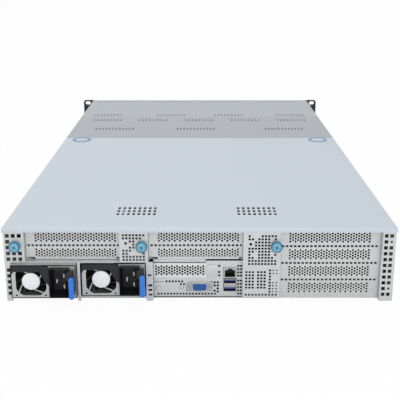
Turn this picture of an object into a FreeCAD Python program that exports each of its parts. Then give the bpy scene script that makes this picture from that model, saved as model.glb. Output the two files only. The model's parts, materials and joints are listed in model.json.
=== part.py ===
"""A two-unit rack server, built as the pieces that it comes apart into on a bench.

Frame: +X to the right when the rear panel is looked at, +Y from the rear panel to the drive bays, +Z up.
The origin is the centre of the chassis pan's underside.  Sizes are millimetres and live in the sheet.
"""
import FreeCAD
import Part
import Sketcher
import math
import os
import re

SIZES = {
    # chassis and covers
    "chassis_width": 440.0,
    "chassis_length": 815.0,
    "chassis_height": 88.0,
    "sheet": 1.2,
    "cover_sheet": 1.0,
    "slip": 0.3,
    "hem_depth": 7.0,
    "rear_lip": 6.0,
    "wall_flange": 5.5,
    "rear_cover_length": 456.0,
    "mid_cover_length": 175.0,
    "cover_seam": 0.8,
    "face_recess": 8.0,
    "left_corner": 21.8,
    "left_strip": 5.5,
    "right_corner": 13.2,
    "square_hole": 4.6,
    "hole_pitch": 7.06,
    "column_pitch": 6.4,
    "hole_edge": 4.4,
    "small_hole": 3.2,
    "small_pitch": 8.6,
    "punch_reach": 6.0,
    # cover vents and release buttons
    "vent_width": 3.2,
    "vent_length": 8.2,
    "vent_pitch": 6.1,
    "vent_row_pitch": 11.4,
    "vent_offset": 71.0,
    "vent_shift": 3.5,
    "vent_columns": 8,
    "vent_rows": 3,
    "vent_setback": 51.0,
    "fine_vent_width": 5.0,
    "fine_vent_length": 15.0,
    "fine_vent_pitch": 8.4,
    "mid_vent_inset": 73.0,
    "mid_vent_setback": 70.0,
    "fine_vent_inset": 52.0,
    "fine_vent_setback": 146.0,
    "front_vent_inset": 48.0,
    "front_vent_setback": 18.0,
    "button_inset": 28.3,
    "button_setback": 15.0,
    "button_radius": 11.2,
    "button_skirt": 1.6,
    "button_travel": 2.4,
    "ring_radius": 15.0,
    "ring_height": 1.0,
    # power supplies
    "psu_width": 73.5,
    "psu_height": 40.0,
    "psu_length": 185.0,
    "psu_pitch": 78.5,
    "psu_inset": 7.0,
    "psu_drawn": 6.0,
    "psu_rise": 4.4,
    "psu_skin": 1.0,
    "fan_offset": 22.0,
    "fan_bore": 18.4,
    "fan_mouth_height": 34.0,
    "mouth_corner": 6.0,
    "fan_hub": 10.0,
    "guard_arm": 2.2,
    "guard_arms": 3,
    "guard_reach": 24.0,
    "guard_start": 28.0,
    "guard_bend": 40.0,
    "psu_rotor_tip": 17.2,
    "psu_rotor_depth": 16.0,
    "psu_rotor_blades": 5,
    "rotor_setback": 3.0,
    "inlet_offset": 43.5,
    "inlet_width": 23.0,
    "inlet_height": 35.0,
    "inlet_depth": 30.0,
    "inlet_proud": 5.0,
    "inlet_rim": 2.0,
    "inlet_corner": 1.4,
    "inlet_cavity": 20.0,
    "pin_recess": 6.0,
    "pin_thick": 2.0,
    "pin_width": 8.0,
    "pin_spread": 6.5,
    "pin_shift": 4.0,
    "latch_offset": 69.4,
    "latch_sheet": 1.4,
    "latch_tab": 5.6,
    "latch_reach": 15.0,
    "latch_inside": 8.0,
    "latch_low": 4.5,
    "latch_high": 30.5,
    "latch_swing": 1.6,
    # riser cages and slot covers
    "slot_pitch": 20.32,
    "top_slot": 75.6,
    "slot_window": 13.0,
    "window_offset": 10.0,
    "window_width": 92.4,
    "blank_margin": 1.0,
    "blank_sheet": 0.8,
    "blank_tab": 3.0,
    "blank_vent": 12.0,
    "blank_vent_height": 9.6,
    "blank_vents": 5,
    "cage_width": 106.4,
    "wide_cage_width": 113.8,
    "cage_depth": 150.0,
    "brace_width": 32.0,
    "screw_panel": 41.6,
    "riser_card_length": 130.0,
    # captive thumbscrews
    "knob_radius": 6.2,
    "knob_length": 9.0,
    "knob_height": 67.0,
    "knob_inset": 10.0,
    "knob_chamfer": 0.8,
    "collar_radius": 4.2,
    "collar_length": 2.4,
    "brace_screw_inset": 7.0,
    "panel_screw_inset": 4.6,
    "driver_slot": 1.6,
    "shank_radius": 2.0,
    "shank_length": 7.0,
    "retainer": 1.0,
    # ports
    "low_slot_width": 59.0,
    "low_slot_bottom": 25.6,
    "low_slot_top": 43.0,
    "low_vent": 8.0,
    "low_vent_pitch": 10.6,
    "clamp_gap": 2.6,
    "clamp_width": 11.4,
    "panel_left": -52.8,
    "panel_right": 49.6,
    "vga_width": 16.9,
    "vga_height": 8.6,
    "vga_z": 14.6,
    "vga_taper": 1.0,
    "vga_corner": 1.2,
    "port_proud": 5.0,
    "nut_spread": 12.5,
    "nut_width": 4.8,
    "stack_x": 34.6,
    "port_width": 15.0,
    "port_wall": 0.8,
    "port_depth": 18.0,
    "lan_low": 25.0,
    "lan_high": 38.0,
    "usb_low": 8.4,
    "usb_pitch": 9.0,
    "usb_height": 6.6,
    "tongue_width": 9.0,
    "tongue_thick": 1.6,
    "id_x": -47.0,
    "id_z": 12.4,
    "id_radius": 2.9,
    "id_travel": 1.0,
    # boards, coolers and memory
    "standoff": 3.4,
    "board": 1.6,
    "board_setback": 14.0,
    "board_neck": 206.0,
    "board_end": 560.0,
    "post_radius": 3.0,
    "post_inset": 20.0,
    "cooler_offset": 106.0,
    "cooler_width": 104.0,
    "cooler_length": 96.0,
    "cooler_height": 64.0,
    "cooler_gap": 40.0,
    "cooler_base": 8.0,
    "cooler_fins": 10,
    "fin_thick": 1.2,
    "memory_length": 133.0,
    "memory_height": 31.0,
    "memory_thick": 3.2,
    "memory_pitch": 8.0,
    "memory_count": 6,
    "memory_inner": 4.0,
    "memory_gap": 10.0,
    # fan wall
    "fan_size": 80.0,
    "fan_depth": 38.0,
    "fan_pitch": 107.0,
    "fan_setback": 572.0,
    "fan_mouth": 37.6,
    "fan_corner": 5.0,
    "fan_strut": 4.0,
    "rotor_tip": 36.4,
    "rotor_hub": 19.0,
    "blade": 1.6,
    "blade_pitch": 38.0,
    "blade_camber": 0.12,
    "rotor_blades": 7,
    "rotor_shaft": 2.0,
    "psu_rotor_shaft": 1.5,
    "shaft_play": 0.05,
    "corner_ratio": 1.0824,
    # drive bays
    "cage_setback": 636.0,
    "bay_floor": 1.4,
    "bay_height": 27.6,
    "bay_shelf": 1.0,
    "backplane": 2.0,
    "plug_inset": 20.0,
    "plug_low": 14.0,
    "plug_height": 10.0,
    "carrier_slip": 0.6,
    "drive_length": 146.0,
    "drive_width": 100.6,
    "drive_gap": 2.0,
    "tray_end": 2.0,
    "bezel_front": 10.0,
    "bezel_depth": 12.0,
    "tray_sheet": 1.2,
    "rail_height": 12.0,
    "cage_vent": 46.0,
    "cage_vent_height": 15.0,
    "cage_vent_pitch": 52.0,
    "lever_width": 84.0,
    "lever_height": 15.0,
    "lever_thick": 4.0,
    "lever_inset": 6.0,
    "lever_slip": 1.0,
    "lever_pin": 1.2,
    "lever_corner": 3.0,
    "lever_slot": 6.0,
    "lever_slot_start": 20.0,
    "lever_slot_end": 16.0,
    # rack ears
    "ear_width": 21.3,
    "ear_sheet": 3.0,
    "ear_slot_inset": 12.55,
    "ear_slot": 6.8,
    "ear_slot_play": 3.6,
    "ear_slot_spread": 76.2,
    "ear_arm_length": 60.0,
    "ear_arm": 2.0,
    "ear_corner": 3.0,
    "grip_depth": 18.0,
    "grip_bar": 6.0,
    "grip_corner": 3.0,
    "grip_edge": 1.0,
    "grip_width": 13.0,
    "grip_low": 18.0,
    "grip_high": 70.0,
    "power_radius": 3.6,
    "power_inset": 6.0,
    "power_z": 74.0,
    "power_travel": 1.0,
}

doc = FreeCAD.newDocument("rack_server")
sheet = doc.addObject("Spreadsheet::Sheet", "Sizes")
for row, (alias, value) in enumerate(SIZES.items(), start=1):
    sheet.set(f"A{row}", alias.replace("_", " "))
    sheet.set(f"B{row}", str(value))
    sheet.setAlias(f"B{row}", alias)
doc.recompute()

NODES = []

# Places that several pieces share, as formulas of the sheet.
REAR = "(0 - chassis_length / 2)"
FRONT = "(chassis_length / 2)"
SIDE = "(chassis_width / 2)"
INSIDE = "(chassis_width / 2 - sheet)"
LID = "(chassis_height - cover_sheet)"
WALL_TOP = "(chassis_height - cover_sheet - slip)"
FACE = f"({REAR} + face_recess)"
BAY_FLOOR = "(sheet + psu_rise)"
BAY_TOP = f"({BAY_FLOOR} + psu_height + 2 * slip)"
BAY_ROOF = f"({BAY_TOP} + sheet)"
BOARD_TOP = "(sheet + standoff + board)"
PSU_BASE = f"({BAY_FLOOR} + slip)"
CORNER_RIGHT = f"({SIDE} - sheet - right_corner)"
CAGE_A = f"(0 - {SIDE} + sheet + left_corner + slip)"
BRACE = f"({CAGE_A} + cage_width + slip)"
CAGE_B = f"({BRACE} + brace_width + slip)"
PANEL = f"({CAGE_B} + cage_width + slip)"
CAGE_C = f"({PANEL} + screw_panel + slip)"
COVER_SPLIT = f"({REAR} + rear_cover_length + cover_seam)"
FRONT_SPLIT = f"({COVER_SPLIT} + mid_cover_length + cover_seam)"
CAGE_BACK = f"({REAR} + cage_setback)"
BEZEL_FRONT = f"({FRONT} + bezel_front)"
BAY_RIGHT = f"(psu_inset + psu_pitch + psu_width + slip - {SIDE})"
BAY_DIVIDER = f"(psu_inset + (psu_pitch + psu_width) / 2 - {SIDE})"
BAY_END = f"({REAR} + board_neck - 2)"
COVER_SIDE = f"({SIDE} + slip + cover_sheet)"
SCREWS = {
    "left": f"({CAGE_A} - knob_inset)",
    "middle": f"({BRACE} + brace_width - brace_screw_inset)",
    "right": f"({CAGE_C} - panel_screw_inset - slip)",
}


def cells(formula):
    """Point every size name in a formula at its cell."""
    return re.sub(r"[a-z][a-z_]+", lambda word: "Sizes." + word.group(0), str(formula))


def value(formula):
    """The present value of a formula of sizes."""
    found = sheet.evalExpression(cells(formula))
    return float(getattr(found, "Value", found))


def bind(thing, prop, formula):
    thing.setExpression(prop, cells(formula))


def box(name, x, y, z):
    """A block that spans two formulas on each axis."""
    made = doc.addObject("Part::Box", name)
    for side, axis, (low, high) in zip(("Length", "Width", "Height"), "xyz", (x, y, z)):
        bind(made, side, f"({high}) - ({low})")
        bind(made, f"Placement.Base.{axis}", low)
    return made


def turned(made, along):
    """Lay a thing that stands along Z so that it runs along X or Y instead."""
    turns = {"x": ((0, 1, 0), 90), "y": ((1, 0, 0), -90), "z": ((0, 0, 1), 0)}
    axis, angle = turns[along]
    made.Placement.Rotation = FreeCAD.Rotation(FreeCAD.Vector(*axis), angle)


def bar(name, radius, length, at, along="z", sides=0):
    """A round bar, or a many-sided one, from a point along +X, +Y or +Z."""
    made = doc.addObject("Part::Prism" if sides else "Part::Cylinder", name)
    bind(made, "Circumradius" if sides else "Radius", radius)
    if sides:
        made.Polygon = sides
    bind(made, "Height", length)
    turned(made, along)
    for axis, place in zip("xyz", at):
        bind(made, f"Placement.Base.{axis}", place)
    return made


def fuse(name, *parts):
    made = doc.addObject("Part::MultiFuse", name)
    made.Shapes = list(parts)
    made.Refine = True
    return made


def cut(name, base, *tools):
    made = doc.addObject("Part::Cut", name)
    made.Base = base
    made.Tool = tools[0] if len(tools) == 1 else group(name + "_tools", *tools)
    made.Refine = True
    return made


def group(name, *parts):
    """Separate solids that are handled as one object."""
    made = doc.addObject("Part::Compound", name)
    made.Links = list(parts)
    return made


def profile(name, corners, along, low, high):
    """An outline drawn out along one axis; its corners are formulas in the other two axes, in XYZ order."""
    drawing = doc.addObject("Sketcher::SketchObject", name + "_outline")
    points = [FreeCAD.Vector(value(a), value(b), 0) for a, b in corners]
    drawing.addGeometry([Part.LineSegment(p, q) for p, q in zip(points, points[1:] + points[:1])])
    count = len(points)
    drawing.addConstraint([Sketcher.Constraint("Coincident", i, 2, (i + 1) % count, 1) for i in range(count)])
    for i, point in enumerate(points):
        for kind, size, formula in zip(("DistanceX", "DistanceY"), point, corners[i]):
            place = drawing.addConstraint(Sketcher.Constraint(kind, -1, 1, i, 1, size))
            bind(drawing, f"Constraints[{place}]", formula)
    turns = {"x": ((1, 1, 1), 120), "y": ((1, 0, 0), 90), "z": ((0, 0, 1), 0)}
    axis, angle = turns[along]
    drawing.Placement.Rotation = FreeCAD.Rotation(FreeCAD.Vector(*axis), angle)
    bind(drawing, f"Placement.Base.{along}", low)
    made = doc.addObject("Part::Extrusion", name)
    made.Base = drawing
    made.DirMode = "Normal"
    made.Solid = True
    made.Reversed = along == "y"
    bind(made, "LengthFwd", f"({high}) - ({low})")
    return made


def bevelled(x_low, x_high, z_low, z_high, corner):
    """The eight corners of a rectangle with its corners taken off."""
    return [(f"{x_low} + {corner}", z_low), (f"{x_high} - {corner}", z_low), (x_high, f"{z_low} + {corner}"),
            (x_high, f"{z_high} - {corner}"), (f"{x_high} - {corner}", z_high),
            (f"{x_low} + {corner}", z_high),
            (x_low, f"{z_high} - {corner}"), (x_low, f"{z_low} + {corner}")]


def channel(left, right, near, far, wall):
    """Sheet folded into a channel: a web at near, with a flange at each end that runs to far."""
    return [(left, near), (right, near), (right, far), (f"{right} - {wall}", far),
            (f"{right} - {wall}", f"{near} + {wall}"),
            (f"{left} + {wall}", f"{near} + {wall}"), (f"{left} + {wall}", far), (left, far)]


def flat_loft(sections):
    """A solid lofted through similar outlines, with one flat face for each pair of matching edges."""
    loops = [sections[0], sections[-1]]
    for near, far in zip(sections, sections[1:]):
        loops += zip(near, near[1:] + near[:1], far[1:] + far[:1], far)
    shell = Part.makeShell([Part.Face(Part.makePolygon([*corners, corners[0]])) for corners in loops])
    shell.sewShape()
    return Part.makeSolid(shell)


def turning(name, sides, rings, at, along="y"):
    """A many-sided turned shape, lofted through rings given as (radius, distance from the start)."""
    made = doc.addObject("Part::Feature", name)
    angles = [math.tau * i / sides for i in range(sides)]
    made.Shape = flat_loft([[FreeCAD.Vector(value(radius) * math.cos(angle), value(radius) * math.sin(angle),
                                            value(distance))
                             for angle in angles] for radius, distance in rings])
    turned(made, along)
    for axis, place in zip("xyz", at):
        bind(made, f"Placement.Base.{axis}", place)
    return made


def punches(name, places, reach):
    """Block punches centred on places; reach is the size of each along X, Y and Z."""
    made = doc.addObject("Part::Feature", name)
    half = FreeCAD.Vector(*reach) * 0.5
    made.Shape = Part.makeCompound([Part.makeBox(*reach, FreeCAD.Vector(*place) - half) for place in places])
    return made


def square_punches(name, places, width):
    """Square punches through a sheet that faces along Y."""
    return punches(name, places, (width, value("punch_reach"), width))


def fill(low, high, pitch):
    """As many evenly spaced stations as fit between two values at a pitch, centred between them."""
    count = max(int((high - low) / pitch) + 1, 1)
    start = (low + high - pitch * (count - 1)) / 2
    return [start + pitch * i for i in range(count)]


def field(x_low, x_high, z_low, z_high, pitches, edge, y):
    """Places of a pattern that fills a sheet facing along Y, at least edge away from its sides."""
    stations = fill(value(x_low) + edge, value(x_high) - edge, pitches[0])
    levels = fill(value(z_low) + edge, value(z_high) - edge, pitches[1])
    return [(x, value(y), z) for z in levels for x in stations]


def around_screw(places, tag):
    """Leave out the places that a thumbscrew's knob covers."""
    x, z = value(SCREWS[tag]), value("knob_height")
    room = value("knob_radius + small_hole")
    return [place for place in places if math.hypot(place[0] - x, place[2] - z) > room]


def screw_hole(tag):
    """The clearance hole of a thumbscrew's shank in the rear plane."""
    place = (value(SCREWS[tag]), value(f"{REAR} + sheet / 2"), value("knob_height"))
    return square_punches(f"screw_hole_{tag}", [place], value("2 * shank_radius + 4 * slip"))


def node(thing, label):
    """Mark an object as one named sub-part of the server."""
    thing.Label = label
    NODES.append(thing)
    return thing


# ---------------------------------------------------------------- chassis
def make_chassis_pan():
    """A folded channel with a flange along each wall, and the perforated corners of the rear face."""
    flange = f"({INSIDE} - wall_flange)"
    under = f"({WALL_TOP} - sheet)"
    half = [(SIDE, "0"), (SIDE, WALL_TOP), (flange, WALL_TOP), (flange, under), (INSIDE, under),
            (INSIDE, "sheet")]
    mirrored = [(f"0 - {x}", z) for x, z in reversed(half)]
    folded = profile("pan_channel", half + mirrored, "y", REAR, FRONT)
    floor_notch = box("floor_notch", (f"0 - {INSIDE}", INSIDE), (f"{REAR} - 1", FACE), ("0 - 1", "sheet"))
    flange_notch = box("flange_notch", (f"0 - {INSIDE}", INSIDE), (f"{REAR} - 1", f"{FACE} + 2 * sheet"),
                       (under, f"{WALL_TOP} + 1"))
    left = f"(0 - {INSIDE})"
    corner = f"({left} + left_corner)"
    rear_in = f"({REAR} + sheet)"
    hook = f"({FACE} + sheet)"
    body = fuse(
        "pan_body",
        cut("pan_notched", folded, floor_notch, flange_notch),
        box("strip_left", (left, f"{left} + left_strip"), (REAR, rear_in), ("0", BAY_ROOF)),
        profile("corner_left", [(left, REAR), (corner, REAR), (corner, hook), (f"{corner} - sheet", hook),
                                (f"{corner} - sheet", rear_in), (left, rear_in)], "z", BAY_ROOF, WALL_TOP),
        profile("corner_right", [(CORNER_RIGHT, REAR), (INSIDE, REAR), (INSIDE, rear_in),
                                 (f"{CORNER_RIGHT} + sheet", rear_in),
                                 (f"{CORNER_RIGHT} + sheet", hook), (CORNER_RIGHT, hook)], "z", "0",
                WALL_TOP),
    )
    y = value(f"{REAR} + sheet / 2")
    edge = value("hole_edge")
    pitch = value("hole_pitch")
    step = value("column_pitch")
    strip_x = value(f"{left} + left_strip / 2")
    places = [(strip_x, y, z) for z in fill(edge, value(BAY_ROOF) - edge, pitch)]
    levels = fill(value(BAY_ROOF) + edge, value(WALL_TOP) - edge, pitch)
    places += around_screw([(strip_x + step * i, y, z) for z in levels for i in range(3)], "left")
    places += field(CORNER_RIGHT, INSIDE, "0", WALL_TOP, (step, pitch), value("hole_edge - sheet"),
                    f"{REAR} + sheet / 2")
    holes = square_punches("corner_holes", places, value("square_hole"))
    node(cut("pan", body, holes, screw_hole("left")), "chassis_pan")


def make_psu_bay():
    """Walls round the two supplies, and the brace between the left and middle cages."""
    rear_in = f"({REAR} + sheet)"
    half = "sheet / 2"
    housing = [(f"0 - {INSIDE}", BAY_TOP), (f"0 - {INSIDE}", BAY_ROOF), (f"{BAY_RIGHT} + sheet", BAY_ROOF),
               (f"{BAY_RIGHT} + sheet", "sheet"), (BAY_RIGHT, "sheet"), (BAY_RIGHT, BAY_TOP),
               (f"{BAY_DIVIDER} + {half}", BAY_TOP), (f"{BAY_DIVIDER} + {half}", "sheet"),
               (f"{BAY_DIVIDER} - {half}", "sheet"), (f"{BAY_DIVIDER} - {half}", BAY_TOP)]
    brace = channel(BRACE, f"{BRACE} + brace_width", REAR, f"{FACE} + sheet", "sheet")
    body = fuse(
        "bay_body",
        profile("bay_housing", housing, "y", rear_in, BAY_END),
        box("bay_floor", (f"0 - {INSIDE}", BAY_RIGHT), (rear_in, BAY_END),
            (f"{BAY_FLOOR} - sheet", BAY_FLOOR)),
        box("bay_foot", (BAY_RIGHT, "panel_left"), (REAR, rear_in), ("0", BAY_ROOF)),
        box("divider_edge", (f"{BAY_DIVIDER} - 1.3 * sheet", f"{BAY_DIVIDER} + 1.3 * sheet"), (REAR, rear_in),
            ("0", BAY_ROOF)),
        profile("brace", brace, "z", BAY_TOP, WALL_TOP),
    )
    y = f"{REAR} + sheet / 2"
    pitches = (value("small_pitch"), value("small_pitch"))
    edge = value("hole_edge")
    grille = around_screw(field(BRACE, f"{BRACE} + brace_width", BAY_ROOF, WALL_TOP, pitches, edge, y),
                          "middle")
    foot = field(BAY_RIGHT, "panel_left", "0", BAY_ROOF, pitches, edge, y)
    node(cut("bay", body, screw_hole("middle"),
             square_punches("bay_holes", grille + foot, value("small_hole"))), "psu_bay")


def make_rear_panel():
    """The recessed port panel and, in the plane of the corners, the perforated screw panel."""
    tower = "(panel_left + low_slot_width + sheet)"
    ports = [("panel_left", "sheet"), ("panel_right", "sheet"), ("panel_right", BAY_ROOF), (tower, BAY_ROOF),
             (tower, "low_slot_bottom"), ("panel_left", "low_slot_bottom")]
    body = fuse(
        "panel_body",
        profile("port_panel", ports, "y", FACE, f"{FACE} + sheet"),
        box("panel_ledge", ("panel_left", "panel_right"), (FACE, f"{REAR} + board_setback - slip"),
            ("sheet", "2 * sheet")),
        profile("screw_panel", channel(PANEL, f"{PANEL} + screw_panel", REAR, f"{FACE} + sheet", "sheet"),
                "z", "sheet", WALL_TOP),
    )
    port_y = value(f"{FACE} + sheet / 2")
    y = f"{REAR} + sheet / 2"
    pitches = (value("small_pitch"), value("small_pitch"))
    edge = value("hole_edge")
    upper = around_screw(field(PANEL, f"{PANEL} + screw_panel", BAY_ROOF, WALL_TOP, pitches, edge, y),
                         "right")
    lower = field(PANEL, f"{PANEL} + screw_panel", "sheet", "low_slot_bottom", pitches, edge, y)
    row = [(x, port_y, value("usb_low - small_hole")) for x in
           fill(value("id_x + id_radius + hole_edge"), value("0 - nut_spread - hole_edge"),
                value("small_pitch"))]
    slots = [
        screw_hole("right"),
        square_punches("panel_holes", upper + lower + row, value("small_hole")),
        punches("stack_window", [(value("stack_x"), port_y, value("(usb_low + lan_high) / 2"))],
                (value("port_width + 2 * slip"), value("punch_reach"),
                 value("lan_high - usb_low + 2 * slip"))),
        punches("vga_window", [(0.0, port_y, value("vga_z"))],
                (value("vga_width + 2 * slip"), value("punch_reach"), value("vga_height + 2 * slip"))),
        square_punches("id_window", [(value("id_x"), port_y, value("id_z"))],
                       value("2 * id_radius + 2 * slip")),
    ]
    node(cut("panel", body, *slots), "rear_panel")


# ---------------------------------------------------------------- riser cages and slot covers
# Each row is a tag, the left side, the width, the number of slots and the level of the plate's lower edge.
CAGES = (
    ("left", CAGE_A, "cage_width", 2, BAY_ROOF),
    ("middle", CAGE_B, "cage_width", 2, BAY_ROOF),
    ("right", CAGE_C, "wide_cage_width", 4, "sheet"),
)


def slot_level(index):
    return f"(top_slot - slot_pitch * {index})"


def cage_floor(slots, foot):
    """A cage that stands beside the board keeps its floor and sides clear of it."""
    return foot if slots == 2 else f"({BOARD_TOP} + 2)"


def make_riser_cage(tag, left, width, slots, foot):
    """A folded cage: a rear plate with one window per slot, two sides and a floor above the mainboard."""
    right = f"({left} + {width})"
    floor = cage_floor(slots, foot)
    back = f"({REAR} + cage_depth)"
    top = f"({WALL_TOP} - slip)"
    parts = [
        profile(f"cage_{tag}_channel", channel(left, right, FACE, back, "sheet"), "z", floor, top),
        box(f"cage_{tag}_floor", (left, right), (f"{FACE} + sheet + blank_tab + slip", back),
            (floor, f"{floor} + sheet")),
    ]
    if slots > 2:
        parts.append(box(f"cage_{tag}_apron", (left, right), (FACE, f"{FACE} + sheet"), (foot, floor)))
    windows = [
        box(f"cage_{tag}_window_{i + 1}",
            (f"{left} + window_offset", f"{left} + window_offset + window_width"),
            (f"{FACE} - 1", f"{FACE} + 2 * sheet"),
            (f"{slot_level(i)} - slot_window / 2", f"{slot_level(i)} + slot_window / 2"))
        for i in range(slots)
    ]
    node(cut(f"cage_{tag}", fuse(f"cage_{tag}_body", *parts), *windows), f"riser_cage_{tag}")


def make_blank(name, left, level):
    """A blank bracket on the inner side of its cage's plate: tall vents and one end folded inwards."""
    x_low = f"({left} + window_offset - blank_margin)"
    x_high = f"({left} + window_offset + window_width + blank_margin)"
    near = f"({FACE} + sheet)"
    reach = "(slot_window / 2 + blank_margin)"
    bracket = [(x_low, near), (x_high, near), (x_high, f"{near} + blank_tab"),
               (f"{x_high} - blank_sheet", f"{near} + blank_tab"),
               (f"{x_high} - blank_sheet", f"{near} + blank_sheet"), (x_low, f"{near} + blank_sheet")]
    body = profile(name + "_bracket", bracket, "z", f"{level} - {reach}", f"{level} + {reach}")
    pitch = value("window_width") / SIZES["blank_vents"]
    start = value(f"{left} + window_offset") + pitch / 2
    y = value(f"{near} + blank_sheet / 2")
    places = [(start + pitch * i, y, value(level)) for i in range(int(SIZES["blank_vents"]))]
    vents = punches(name + "_vents", places,
                    (value("blank_vent"), value("2 * blank_sheet"), value("blank_vent_height")))
    return cut(name, body, vents)


def make_slot_covers():
    covers = [make_blank(f"blank_{tag}_{i + 1}", left, slot_level(i))
              for tag, left, width, slots, foot in CAGES for i in range(slots)]
    node(group("blanks", *covers), "slot_covers")
    end = "(panel_left + low_slot_width)"
    plate = box("low_blank_plate", ("panel_left", f"{end} + sheet - slip"), (FACE, f"{FACE} + blank_sheet"),
                ("low_slot_bottom", "low_slot_top"))
    stations = fill(value("panel_left + hole_edge"), value(f"{end} - hole_edge"), value("low_vent_pitch"))
    level = value("(low_slot_bottom + low_slot_top) / 2")
    vents = punches("low_blank_vents", [(x, value(f"{FACE} + blank_sheet / 2"), level) for x in stations],
                    (value("low_vent"), value("2 * blank_sheet"), value("blank_vent_height")))
    node(cut("low_blank", plate, vents), "low_slot_cover")
    hook, bend, tip = f"({end} - sheet)", f"({end} + clamp_gap)", f"({end} + clamp_gap + clamp_width)"
    low, high = "(low_slot_bottom + 2)", "(low_slot_top - 2)"
    outline = [(bend, low), (tip, low), (tip, high), (bend, high), (bend, f"{high} - 3"),
               (hook, f"{high} - 3"),
               (hook, f"{low} + 3"), (bend, f"{low} + 3")]
    node(profile("clamp", outline, "y", f"{FACE} - sheet", FACE), "slot_clamp")


def make_riser_cards():
    """One card on edge in each cage, beside the cage's right side and on its floor."""
    cards = []
    for tag, left, width, slots, foot in CAGES:
        x = f"({left} + {width} - 3 * sheet - board)"
        near = f"({FACE} + 8 * sheet)"
        cards.append(box(f"card_{tag}", (x, f"{x} + board"), (near, f"{near} + riser_card_length"),
                         (f"{cage_floor(slots, foot)} + sheet", f"{WALL_TOP} - 4 * sheet")))
    node(group("cards", *cards), "riser_cards")


# ---------------------------------------------------------------- captive thumbscrews
def make_thumbscrew(tag):
    """A chamfered knob, collar, shank and retaining ring on one axis, with a driver slot across the knob."""
    name = f"screw_{tag}"
    x = SCREWS[tag]
    head = f"({REAR} - slip - knob_length)"
    grip = "(knob_length - collar_length)"
    knob = turning(f"{name}_knob", 20, [("knob_radius - knob_chamfer", "0"), ("knob_radius", "knob_chamfer"),
                                        ("knob_radius", grip)], (x, head, "knob_height"))
    body = fuse(
        f"{name}_body",
        knob,
        bar(f"{name}_collar", "collar_radius", "collar_length + 1",
            (x, f"{head} + {grip} - 1", "knob_height"), "y", 12),
        bar(f"{name}_shank", "shank_radius", "shank_length + 1", (x, f"{REAR} - slip - 1", "knob_height"),
            "y", 8),
        bar(f"{name}_retainer", "shank_radius + retainer", "sheet",
            (x, f"{REAR} + sheet + slip", "knob_height"), "y", 8),
    )
    driver = box(f"{name}_driver", (f"{x} - knob_radius", f"{x} + knob_radius"),
                 (f"{head} - 1", f"{head} + driver_slot"),
                 ("knob_height - driver_slot / 2", "knob_height + driver_slot / 2"))
    node(cut(f"{name}_whole", body, driver), f"thumbscrew_{tag}")


# ---------------------------------------------------------------- power supplies
def guard_arm(turn):
    """One curved arm of a finger guard about the origin, from the hub out past the mouth."""
    steps = 4
    hub, reach, half = value("fan_hub - 1"), value("guard_reach"), value("guard_arm / 2")
    sides = {1: [], -1: []}
    for i in range(steps + 1):
        share = i / steps
        radius = hub + (reach - hub) * share
        angle = math.radians(turn + value("guard_bend") * share)
        for side, edge in sides.items():
            lean = angle + side * math.atan2(half, radius)
            edge.append(FreeCAD.Vector(radius * math.cos(lean), 0, radius * math.sin(lean)))
    corners = sides[1] + sides[-1][::-1]
    return Part.Face(Part.makePolygon(corners + corners[:1])).extrude(FreeCAD.Vector(0, value("psu_skin"), 0))


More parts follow.
